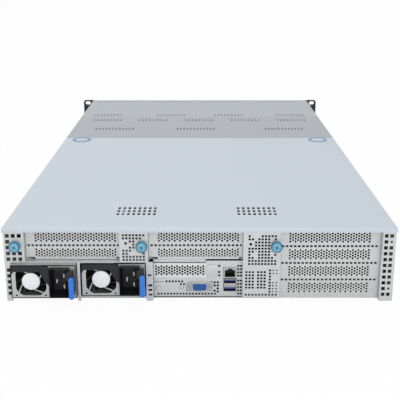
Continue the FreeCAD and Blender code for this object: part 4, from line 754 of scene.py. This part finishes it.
def knurled_knob(name):
    node = "thumbscrew_" + name
    low, high = size_of(node)
    centre = screws[name]
    near = low.y + head_setback
    shape = bmesh.new()
    add_rod(shape, 6.15 * mm, centre, near + 0.6 * mm, rear_y - 2.6 * mm, 36)
    around = sorted((face for face in shape.faces if len(face.verts) == 4),
                    key=lambda face: math.atan2(face.calc_center_median().z - centre[1],
                                                face.calc_center_median().x - centre[0]))
    for face in around[::2]:
        bmesh.ops.inset_individual(shape, faces=[face], thickness=0.16 * mm, depth=-rib_depth)
    round_edges(shape, [edge for edge in shape.edges
                        if len([face for face in edge.link_faces if len(face.verts) > 20]) == 1], 0.5 * mm)
    head = bmesh.new()
    add_rod(head, 4.9 * mm, centre, near, near + 0.8 * mm, 32, 0.3 * mm)
    extra("knob_face_" + name, head, node, paint="knob_face")
    add_rod(shape, 4.2 * mm, centre, rear_y - 2.8 * mm, rear_y - 0.3 * mm)
    add_rod(shape, 2.0 * mm, centre, rear_y - 1 * mm, high.y, 12)
    piece_of("knob_" + name, shape, node)
    # Two dark bars stand proud of the head as painted shade in place of the driver slot's recess.
    recess_shade = bmesh.new()
    for turn in (12, 102):
        bar = bmesh.new()
        add_block(bar, (-2.2 * mm, 0, -0.45 * mm), (2.2 * mm, 0.25 * mm, 0.45 * mm))
        turned = Matrix.Rotation(math.radians(turn), 3, "Y")
        bmesh.ops.rotate(bar, cent=(0, 0, 0), matrix=turned, verts=bar.verts[:])
        bmesh.ops.translate(bar, vec=(centre[0], near - 0.12 * mm, centre[1]), verts=bar.verts[:])
        join_in(recess_shade, bar)
    extra("driver_shade_" + name, recess_shade, node, paint="knob_recess_shade")


for name in screws:
    knurled_knob(name)
print("thumbscrews:", len(screws))

# %% [markdown]
# ## Power supplies
#
# A supply shows three things at the rear: a finger guard over its fan, a tall black inlet with three blades,
# and a blue latch that is squeezed towards the inlet.  The guard is stamped from the case itself: curved
# openings leave a hub, four bent arms and a rounded square frame.

# %% Curved openings of the finger guard
hub_reach, guard_reach, guard_corner = 10.3 * mm, 17.2 * mm, 1.14
guard_arms, arm_width, arm_swirl, arm_start = 4, 1.3 * mm, 0.45, math.radians(18)
arc_steps = 14


def guard_openings(flat, x, z):
    """Openings between the hub and a rounded square frame, one between each pair of arms."""
    share = math.tau / guard_arms
    inner_gap, outer_gap = arm_width / hub_reach, arm_width / guard_reach
    for index in range(guard_arms):
        base = arm_start + share * index
        ring = []
        for k in range(arc_steps + 1):
            angle = base + inner_gap / 2 + (share - inner_gap) * k / arc_steps
            ring.append((x + hub_reach * math.cos(angle), z + hub_reach * math.sin(angle)))
        for k in range(arc_steps, -1, -1):
            angle = base + arm_swirl + outer_gap / 2 + (share - outer_gap) * k / arc_steps
            square = 1 / max(abs(math.cos(angle)), abs(math.sin(angle)))
            radius = guard_reach * min(square, guard_corner)
            ring.append((x + radius * math.cos(angle), z + radius * math.sin(angle)))
        outline(flat, ring)


# %% Case, inlet and latch of a supply
def supply_case(side, node, hub, inlet_low, inlet_high, latch_low, latch_high):
    low, high = size_of(node)
    mid_z = (low.z + high.z) / 2
    face = blank(low.x, high.x, low.z, high.z)
    guard_openings(face, *hub)
    loop(face, ((inlet_low.x + inlet_high.x) / 2, mid_z), (inlet_high.x - inlet_low.x + 0.1 * mm, 35.1 * mm))
    loop(face, (low.x + 69.9 * mm, (latch_low.z + latch_high.z) / 2),
         (3.8 * mm, latch_high.z - latch_low.z + 2 * gap))
    holes(face, [(low.x + x * mm, low.z + 3.4 * mm) for x in (5.6, 38.6)], 2.4 * mm, sides=12)
    shell = press(face, 1.0 * mm, low.y)
    tube = bmesh.new()
    add_block(tube, low, high)
    bmesh.ops.delete(tube, geom=[face for face in tube.faces if face.normal.y < -0.9], context="FACES")
    folds = [edge for edge in tube.edges if abs((edge.verts[0].co - edge.verts[1].co).y) > 0.1]
    round_edges(tube, folds, 0.8 * mm, 3)
    bmesh.ops.solidify(tube, geom=tube.faces[:], thickness=1.0 * mm)
    join_in(shell, tube)
    piece_of(f"supply_{side}_case", shell, node)

    left, right = low.x + 1 * mm, inlet_low.x - 0.4 * mm
    foot, top = high.z - 8.0 * mm, high.z - 1 * mm
    band = bmesh.new()
    outline(band, [(left, top), (left, mid_z + 8 * mm), (low.x + 3.4 * mm, foot), (hub[0] + 9.5 * mm, foot),
                   (hub[0] + 15.4 * mm, mid_z + 1 * mm), (inlet_low.x - 1.6 * mm, mid_z - 4 * mm),
                   (right, mid_z - 4 * mm), (right, top)])
    extra(f"supply_{side}_band", press(band, 0.35 * mm, low.y - 0.37 * mm), node, material="black_plastic")
    disc = bmesh.new()
    add_rod(disc, 9.9 * mm, hub, low.y - 0.5 * mm, low.y - 0.05 * mm, 40, 0.2 * mm)
    extra(f"supply_{side}_hub_disc", disc, node, material="button_plastic", paint="hub_white")


def supply_inlet(side, node, low, high, back, mid_z):
    inlet = bmesh.new()
    add_block(inlet, low, (high.x, back + 29 * mm, high.z), 0.8 * mm, 3)
    mouth = [face for face in inlet.faces if face.normal.y < -0.9 and face.calc_area() > 200 * mm * mm]
    bmesh.ops.inset_region(inlet, faces=mouth, thickness=1.7 * mm, depth=0.0, use_even_offset=True)
    bmesh.ops.translate(inlet, vec=(0, 19 * mm, 0),
                        verts=list({vert for face in mouth for vert in face.verts}))
    piece_of(f"supply_{side}_inlet", inlet, node)
    blades = bmesh.new()
    centre_x = (low.x + high.x) / 2
    for x, z in ((-3.1, 0), (4.9, 6.5), (4.9, -6.5)):
        add_block(blades, (centre_x + (x - 0.8) * mm, back + 1.4 * mm, mid_z + (z - 2.4) * mm),
                  (centre_x + (x + 0.8) * mm, back + 14 * mm, mid_z + (z + 2.4) * mm), 0.3 * mm)
    extra(f"supply_{side}_blades", blades, node, material="connector_steel")


def supply_latch(side, node, low, high, back):
    leaf = bmesh.new()
    leaf_x = (low.x + high.x) / 2
    add_block(leaf, (leaf_x - 0.7 * mm, low.y + 1 * mm, low.z), (leaf_x + 0.7 * mm, high.y, high.z), 0.3 * mm)
    pad = bmesh.new()
    add_block(pad, low, (high.x, low.y + 3.2 * mm, high.z))
    uprights = [edge for edge in pad.edges if abs(edge.verts[0].co.y - edge.verts[1].co.y) > 3 * mm]
    round_edges(pad, uprights, 2.6 * mm, 5)
    rims = [edge for edge in pad.edges
            if len(edge.link_faces) == 2 and any(len(face.verts) > 6 for face in edge.link_faces)]
    round_edges(pad, rims, 0.5 * mm)
    join_in(leaf, pad)
    piece_of(f"supply_{side}_latch", leaf, node)
    shoulder = bmesh.new()
    add_block(shoulder, (low.x - 3.5 * mm, low.y + 3.4 * mm, high.z - 5 * mm),
              (leaf_x + 1.6 * mm, back - 0.8 * mm, high.z + 4.5 * mm), 1.2 * mm, 3)
    extra(f"supply_{side}_latch_shoulder", shoulder, node, material="black_plastic")


for side in ("left", "right"):
    case_node, inlet_node, latch_node = (f"psu_{side}_{part}" for part in ("case", "inlet", "latch"))
    low, high = size_of(case_node)
    mid_z = (low.z + high.z) / 2
    inlet_box, latch_box = size_of(inlet_node), size_of(latch_node)
    supply_case(side, case_node, (low.x + 22.7 * mm, mid_z + 0.6 * mm), *inlet_box, *latch_box)
    supply_inlet(side, inlet_node, *inlet_box, low.y, mid_z)
    supply_latch(side, latch_node, *latch_box, low.y)
print("supplies: 2, with", guard_arms, "arms in each guard")

# %% [markdown]
# ## Fan rotors
#
# A fan blade is a thin twisted plate.  It starts as a flat strip between hub and tip, its tip end is turned
# further than its root, and it is copied round the axis.  Blades stay inside the swept space of the rotor.

# %% Twisted blades
joint_axis = {joint["child"]: (joint["pos_m"][0], joint["pos_m"][2])
              for joint in behaviour["joints"] if "pos_m" in joint}
blade_count, blade_thickness, chord_share, camber_share = 7, 0.9 * mm, 0.92, 0.10


def rotor(node, hub_radius, tip_radius, root_pitch, tip_pitch):
    low, high = size_of(node)
    axis = joint_axis[body_of_node[node]]
    chord = (high.y - low.y) * chord_share
    shape = bmesh.new()
    add_rod(shape, hub_radius, axis, low.y, high.y, 32, 0.8 * mm)
    for index in range(blade_count):
        blade = bmesh.new()
        bmesh.ops.create_grid(blade, x_segments=5, y_segments=5, size=0.5,
                              matrix=Matrix.Translation(((hub_radius + tip_radius) / 2, 0, 0))
                              @ Matrix.Diagonal((tip_radius - hub_radius + 1 * mm, chord, 1, 1)))
        for vert in blade.verts:
            share = (vert.co.x - hub_radius) / (tip_radius - hub_radius)
            pitch = math.radians(root_pitch + (tip_pitch - root_pitch) * share)
            along = vert.co.y
            camber = camber_share * chord * (1 - (2 * along / chord) ** 2)
            vert.co.y = along * math.cos(pitch) + camber * math.sin(pitch)
            vert.co.z = along * math.sin(pitch) - camber * math.cos(pitch)
            reach = math.hypot(vert.co.x, vert.co.z)
            if reach > tip_radius:
                vert.co.x *= tip_radius / reach
                vert.co.z *= tip_radius / reach
        bmesh.ops.solidify(blade, geom=blade.faces[:], thickness=blade_thickness)
        bmesh.ops.recalc_face_normals(blade, faces=blade.faces[:])
        turn = Matrix.Rotation(math.tau * index / blade_count, 3, "Y")
        bmesh.ops.rotate(blade, cent=(0, 0, 0), matrix=turn, verts=blade.verts[:])
        bmesh.ops.translate(blade, vec=(axis[0], (low.y + high.y) / 2, axis[1]), verts=blade.verts[:])
        join_in(shape, blade)
    piece_of(node + "_blades", shape, node)


for side in ("left", "right"):
    rotor(f"psu_{side}_rotor", 8.8 * mm, 16.9 * mm, 52, 34)
for index in range(4):
    rotor(f"fan_rotor_{index + 1}", 19 * mm, 36.0 * mm, 50, 32)
print("rotors: 6, each with", blade_count, "blades")

# %% [markdown]
# ## Sockets
#
# A socket is a plated shell round a dark room.  The shell is one closed outline inside another, pushed out
# to the depth of the shell, and the same step makes the black liner inside it.  The liners and the black plate
# behind the display insert are painted shade for that dark room; the network liner is also the socket's real
# black housing.  Rounding each corner of an outline with a small curve keeps the D of the display socket and
# the notch of the network socket crisp.

# %% Outlines with rounded corners, shells and liners
def rounded(corners, radius, steps=3):
    """Points round a polygon, with each corner replaced by a small curve."""
    points = []
    for before, here, after in zip(corners[-1:] + corners[:-1], corners, corners[1:] + corners[:1]):
        here, before, after = Vector(here), Vector(before), Vector(after)
        start = here + (before - here).normalized() * radius
        end = here + (after - here).normalized() * radius
        for k in range(steps + 1):
            t = k / steps
            points.append(start * (1 - t) ** 2 + here * 2 * t * (1 - t) + end * t ** 2)
    return points


def rectangle(left, right, low, high):
    return [(left, low), (right, low), (right, high), (left, high)]


def plate_at(outlines, near, depth):
    """A plate or shell that faces the rear: outlines inside the first one are holes."""
    flat = bmesh.new()
    for points in outlines:
        outline(flat, points)
    return press(flat, depth, near)


def d_shape(grow):
    """The display socket's outline: a wide top, a narrower foot and round corners."""
    half, foot, tall = 8.3 * mm + grow, 7.2 * mm + grow, 4.0 * mm + grow
    low, high = vga_mid - tall, vga_mid + tall
    return rounded([(-foot, low), (foot, low), (half, high), (-half, high)], 2.5 * mm)


# %% Display socket
shell_y = vga_low.y + 1.8 * mm
vga = plate_at([d_shape(0.8 * mm), d_shape(0.1 * mm)], shell_y, 4.0 * mm)
join_in(vga, plate_at([rounded(rectangle(-15 * mm, 15 * mm, vga_mid - 5.6 * mm, vga_mid + 5.6 * mm),
                               1.2 * mm),
                       d_shape(0.3 * mm)], face_y - 0.7 * mm, 0.6 * mm))
for x in (-12.4 * mm, 12.4 * mm):
    nut = bmesh.new()
    holes(nut, [(x, vga_mid)], 5.0 * mm, sides=6)
    holes(nut, [(x, vga_mid)], 2.6 * mm, sides=12)
    join_in(vga, press(nut, 2.6 * mm, shell_y))
piece_of("display_shell", vga, "vga_port", material="connector_steel")
insert = bmesh.new()
outline(insert, d_shape(0.05 * mm))
pin_pitch, row_pitch = 2.3 * mm, 2.0 * mm
for row in (-1, 0, 1):
    shift = 0.5 if row == 0 else 0
    pins = [((i - 2 + shift) * pin_pitch, vga_mid + row * row_pitch) for i in range(5)]
    holes(insert, pins, 0.8 * mm, sides=8)
extra("display_insert", press(insert, 1.6 * mm, shell_y - 0.2 * mm), "vga_port")
# A black plate behind the insert is painted shade, darkening the pin holes.
extra("display_pin_shade", plate_at([d_shape(0)], shell_y + 2.2 * mm, 1.0 * mm), "vga_port",
         material="black_plastic")


# %% Network and data sockets
socket_depth = 18.6 * mm


def lan_shape(grow):
    """The network socket's mouth with the notch for the plug's latch."""
    half, notch = 5.9 * mm + grow, 2.9 * mm + grow
    low, high, top = lan_low.z + 1.3 * mm - grow, lan_low.z + 9.8 * mm + grow, lan_low.z + 11.6 * mm + grow
    right_side = [(half, low), (half, high), (notch, high), (notch, top)]
    return [(stack_x - half, low)] + [(stack_x + x, z) for x, z in right_side] + [
        (stack_x - x, z) for x, z in right_side[:0:-1]]


shell_box = rounded(rectangle(lan_low.x, lan_high.x, lan_low.z, lan_high.z), 0.6 * mm)
piece_of("network_shell", plate_at([shell_box, lan_shape(0)], lan_low.y, socket_depth), "lan_port")
# The black liner is the socket's housing and is also kept black as painted shade for the dark inside.
liner = plate_at([lan_shape(-0.05 * mm), lan_shape(-0.5 * mm)], lan_low.y + 0.7 * mm, 16.0 * mm)
join_in(liner, plate_at([lan_shape(-0.1 * mm)], lan_low.y + 9.0 * mm, 2.0 * mm))
extra("network_housing_and_shade", liner, "lan_port", material="black_plastic")
contacts = bmesh.new()
for i in range(8):
    x = stack_x + (i - 3.5) * 1.02 * mm
    add_block(contacts, (x - 0.2 * mm, lan_low.y + 5.5 * mm, lan_low.z + 2.0 * mm),
              (x + 0.2 * mm, lan_low.y + 9.4 * mm, lan_low.z + 2.7 * mm), 0.08 * mm, 1)
extra("network_contacts", contacts, "lan_port", paint="contact_gold")

usb_height = 6.0 * mm
shells, shade_liners, tongues = bmesh.new(), bmesh.new(), bmesh.new()
for base in (usb_low.z, usb_high.z - usb_height):
    top = base + usb_height
    outer = rounded(rectangle(usb_low.x, usb_high.x, base, top), 0.5 * mm)
    mouth, lined, inside = (rectangle(stack_x - half * mm, stack_x + half * mm, base + rim * mm,
                                      top - rim * mm)
                            for half, rim in ((6.8, 0.6), (6.793, 0.6), (6.4, 0.9)))
    join_in(shells, plate_at([outer, mouth], usb_low.y, socket_depth))
    # The black liners cover the shells' inner walls: painted shade for the dark inside of each mouth.
    join_in(shade_liners, plate_at([lined, inside], usb_low.y + 0.6 * mm, 14 * mm))
    add_block(shade_liners, (stack_x - 6.5 * mm, usb_low.y + 9 * mm, base + 0.8 * mm),
              (stack_x + 6.5 * mm, usb_low.y + 11 * mm, top - 0.8 * mm))
    add_block(tongues, (stack_x - 5.8 * mm, usb_low.y + 0.8 * mm, base + usb_height / 2),
              (stack_x + 5.8 * mm, usb_low.y + 9.5 * mm, top - 1.0 * mm), 0.3 * mm)
add_block(shells, (usb_low.x + 0.3 * mm, usb_low.y + 0.3 * mm, usb_low.z + usb_height - 0.1 * mm),
          (usb_high.x - 0.3 * mm, usb_low.y + 3 * mm, usb_high.z - usb_height + 0.1 * mm), 0.2 * mm)
piece_of("data_shells", shells, "usb_ports")
extra("data_shade_liners", shade_liners, "usb_ports", material="black_plastic")
extra("data_tongues", tongues, "usb_ports", material="vga_blue", paint="tongue_blue")
print("sockets: display, network and two data")

# %% [markdown]
# ## Softened edges
#
# No edge on a real object is perfectly sharp: paint, folding and moulding all leave a small round, which
# catches a line of light.  Pieces whose construction shape is already right only need that.  The flat
# triangles are dissolved into whole faces first, so that the bevel sees the real edges and nothing else.

# %% Bevelled copies of construction pieces
def soften(node, width, paint=None):
    shape = bmesh.new()
    shape.from_mesh(nodes[node].data)
    bmesh.ops.remove_doubles(shape, verts=shape.verts[:], dist=0.01 * mm)
    bmesh.ops.dissolve_limit(shape, angle_limit=math.radians(1), verts=shape.verts[:], edges=shape.edges[:],
                             use_dissolve_boundaries=False)
    round_edges(shape, [edge for edge in shape.edges
                        if len(edge.link_faces) == 2 and edge.calc_face_angle(0) > math.radians(40)], width)
    piece_of(node + "_soft", shape, node, paint=paint)


soften("slot_clamp", 0.25 * mm, paint="zinc_steel")
for node in ("id_button", "power_button"):
    soften(node, 0.25 * mm)
for node in ("rack_ear_left", "rack_ear_right"):
    soften(node, 0.5 * mm)
print("softened pieces: 5")

# %% [markdown]
# ## Drive carriers
#
# Each carrier shows a bezel with a long lever in a pocket, a field of air holes and two status lenses.  The
# bezel is pressed like the sheets, in one thick step, and the tray and the drive behind it only show when
# the carrier is pulled out.  All eight are made by one loop.

# %% Bezels, trays and drives
bezel_face, bezel_depth, lever_thick = 5.0 * mm, 12 * mm, 4.0 * mm
slip = 1.0 * mm
half_drive = 50.3 * mm


def bezel(index, node, low, high, lever_low, lever_high):
    flat = bmesh.new()
    outline(flat, rounded(rectangle(low.x, high.x, low.z, high.z), 1.2 * mm))
    pocket = rectangle(lever_low.x - slip, lever_high.x + slip, lever_low.z - slip, lever_high.z + slip)
    outline(flat, rounded(pocket, 1.0 * mm))
    air_holes = grid((lever_high.x + 4.2 * mm, low.z + 5.4 * mm), (3.9 * mm, 3.9 * mm), 3, 5)
    holes(flat, air_holes, 2.9 * mm, sides=6)
    for z in (low.z + 2.6 * mm, high.z - 2.6 * mm):
        holes(flat, grid((lever_low.x + 3.0 * mm, z), (5.2 * mm, 0), 16, 1), 3.6 * mm, 1.5 * mm)
    shape = press(flat, bezel_face, high.y - bezel_face)
    add_block(shape, (low.x, high.y - bezel_depth, low.z), (high.x, high.y - bezel_face, high.z), 0.4 * mm)
    pin_x, pin_y = lever_low.x + 2.0 * mm, high.y - 2 * mm
    add_bar(shape, 1.2 * mm, (pin_x, pin_y, lever_low.z - slip), (pin_x, pin_y, lever_high.z + slip), "Z", 16)
    piece_of(f"bezel_{index}", shape, node, paint="ear_black")


def tray_and_drive(index, node, low, high):
    back, middle = high.y - bezel_depth, (low.x + high.x) / 2
    tray = bmesh.new()
    add_block(tray, low, (high.x, back, low.z + sheet), 0.3 * mm)
    for x in (low.x, high.x - sheet):
        add_block(tray, (x, low.y, low.z), (x + sheet, back, low.z + 12 * mm), 0.3 * mm)
    extra(f"tray_{index}", tray, node)
    drive = bmesh.new()
    add_block(drive, (middle - half_drive, low.y + 2 * mm, low.z + sheet),
              (middle + half_drive, back - 2 * mm, high.z - 0.3 * mm), 1.2 * mm, 3)
    extra(f"drive_{index}", drive, node, material="supply_steel")
    lenses = bmesh.new()
    for z in (7, 19):
        add_rod(lenses, 1.0 * mm, (high.x - 3.4 * mm, low.z + z * mm), high.y - 1 * mm, high.y, 16, 0.2 * mm)
    extra(f"lenses_{index}", lenses, node, paint="lens")


def lever_plate(index, node, low, high, mid_z, near):
    flat = bmesh.new()
    outline(flat, rounded(rectangle(low.x, high.x, low.z, high.z), 2.4 * mm, 4))
    grip = rectangle(low.x + 20 * mm, high.x - 16 * mm, mid_z - 3 * mm, mid_z + 3 * mm)
    outline(flat, rounded(grip, 2.0 * mm, 4))
    for i in range(5):
        x = high.x - (4.5 + 2.0 * i) * mm
        outline(flat, rectangle(x, x + 0.8 * mm, low.z + 3 * mm, high.z - 3 * mm))
    lever = press(flat, lever_thick, near)
    round_edges(lever, [edge for edge in lever.edges
                        if len(edge.link_faces) == 2 and edge.calc_face_angle(0) > math.radians(60)
                        and abs(edge.verts[0].co.y - edge.verts[1].co.y) < 0.1 * mm], 0.25 * mm)
    piece_of(f"lever_{index}_plate", lever, node, material="carrier_aluminium")


for index in range(1, 9):
    node, lever_node = f"drive_carrier_{index}", f"carrier_lever_{index}"
    low, high = size_of(node)
    lever_low, lever_high = size_of(lever_node)
    bezel(index, node, low, high, lever_low, lever_high)
    tray_and_drive(index, node, low, high)
    lever_plate(index, lever_node, lever_low, lever_high, (low.z + high.z) / 2, high.y - lever_thick)
print("carriers: 8")

# %% [markdown]
# ## Front sheet of the drive cage
#
# Above the drives the cage's front sheet lets air in.  On the real server this strip is perforated from end
# to end, so the large openings of the construction model get a grille of small round holes.

# %% Perforated strip
cage_low, cage_high = size_of("drive_cage")
strip_low = size_of("drive_carrier_8")[1].z + 2.4 * mm
grille = bmesh.new()
outline(grille, rectangle(cage_low.x + 2 * mm, cage_high.x - 2 * mm, strip_low, cage_high.z - 1 * mm))
holes(grille, honeycomb(cage_low.x + 6 * mm, cage_high.x - 6 * mm, strip_low + 2 * mm, cage_high.z - 3 * mm,
                        5.2 * mm, 4.5 * mm), 4.0 * mm, sides=6)
extra("front_grille", press(grille, 0.8 * mm, front_y - 3.0 * mm), "drive_cage")
print("grille face at", round(front_y - 3.0 * mm, 4))

# %% [markdown]
# ## Studio
#
# The stage is a plain pale floor in a white room.  The floor is white to the camera and keeps a soft shadow,
# and the light on the object stays level, so that each colour shows about as it is written.

# %% Floor, world and lights
def mix_in(tree, share, base, other, target):
    """Lead a mix of two shaders to an output's surface."""
    mix = tree.nodes.new("ShaderNodeMixShader")
    wire(tree, (share, mix.inputs["Fac"]), (base.outputs[0], mix.inputs[1]),
         (other.outputs[0], mix.inputs[2]),
         (mix.outputs[0], tree.nodes[target].inputs["Surface"]))


def white_room(strength):
    world = bpy.data.worlds.new("white room")
    bpy.context.scene.world = world
    world.use_nodes = True
    tree = world.node_tree
    light = tree.nodes["Background"]
    set_inputs(light, Color=(0.95, 0.97, 1.0, 1), Strength=strength)
    white = tree.nodes.new("ShaderNodeBackground")
    set_inputs(white, Color=(1, 1, 1, 1), Strength=1.0)
    ray = tree.nodes.new("ShaderNodeLightPath")
    seen = math_node(tree, "MAXIMUM", ray.outputs["Is Camera Ray"], ray.outputs["Is Transmission Ray"])
    mix_in(tree, seen, light, white, "World Output")


def white_floor(side, drop, glow_share):
    shape = bmesh.new()
    bmesh.ops.create_grid(shape, x_segments=1, y_segments=1, size=side,
                          matrix=Matrix.Translation((0, 0, -drop)))
    mesh = bpy.data.meshes.new("floor")
    shape.to_mesh(mesh)
    shape.free()
    paint = bpy.data.materials.new("white floor")
    paint.use_nodes = True
    tree = paint.node_tree
    shader = tree.nodes["Principled BSDF"]
    set_inputs(shader, Base_Color=(0.86, 0.86, 0.86, 1), Roughness=0.9)
    glow = tree.nodes.new("ShaderNodeEmission")
    set_inputs(glow, Color=(1, 1, 1, 1))
    ray = tree.nodes.new("ShaderNodeLightPath")
    keep = math_node(tree, "MULTIPLY", ray.outputs["Is Camera Ray"], glow_share)
    mix_in(tree, keep, shader, glow, "Material Output")
    mesh.materials.append(paint)
    return put_in_scene("floor", mesh)


def soft_light(title, place, target, size, watts):
    lamp = bpy.data.lights.new(title, "AREA")
    lamp.shape = "RECTANGLE"
    lamp.size, lamp.size_y = size
    lamp.energy = watts
    item = put_in_scene(title, lamp)
    item.location = place
    item.rotation_euler = (Vector(target) - Vector(place)).to_track_quat("-Z", "Y").to_euler()


white_room(0.72)
floor = white_floor(8.0, 0.4 * mm, 0.95)
soft_light("key over the cover", (-0.5, 0.5, 2.2), (0, 0, 0.05), (2.4, 2.4), 18)
soft_light("front of the rear panel", (0.3, -2.6, 0.9), (0, rear_y, 0.04), (2.2, 1.4), 16)
print("stage and lights ready")

# %% Camera
camera_height, camera_distance, camera_pitch = 0.3804, 0.8437, 17.11
camera_data = bpy.data.cameras.new("camera")
camera_data.sensor_width = 36.0
camera_data.lens = 72.2
camera = put_in_scene("camera", camera_data)
camera.location = (0.0004, rear_y - camera_distance, camera_height)
camera.rotation_euler = (math.radians(90 - camera_pitch), 0, 0)
bpy.context.scene.camera = camera
bpy.context.scene.view_settings.view_transform = "Standard"
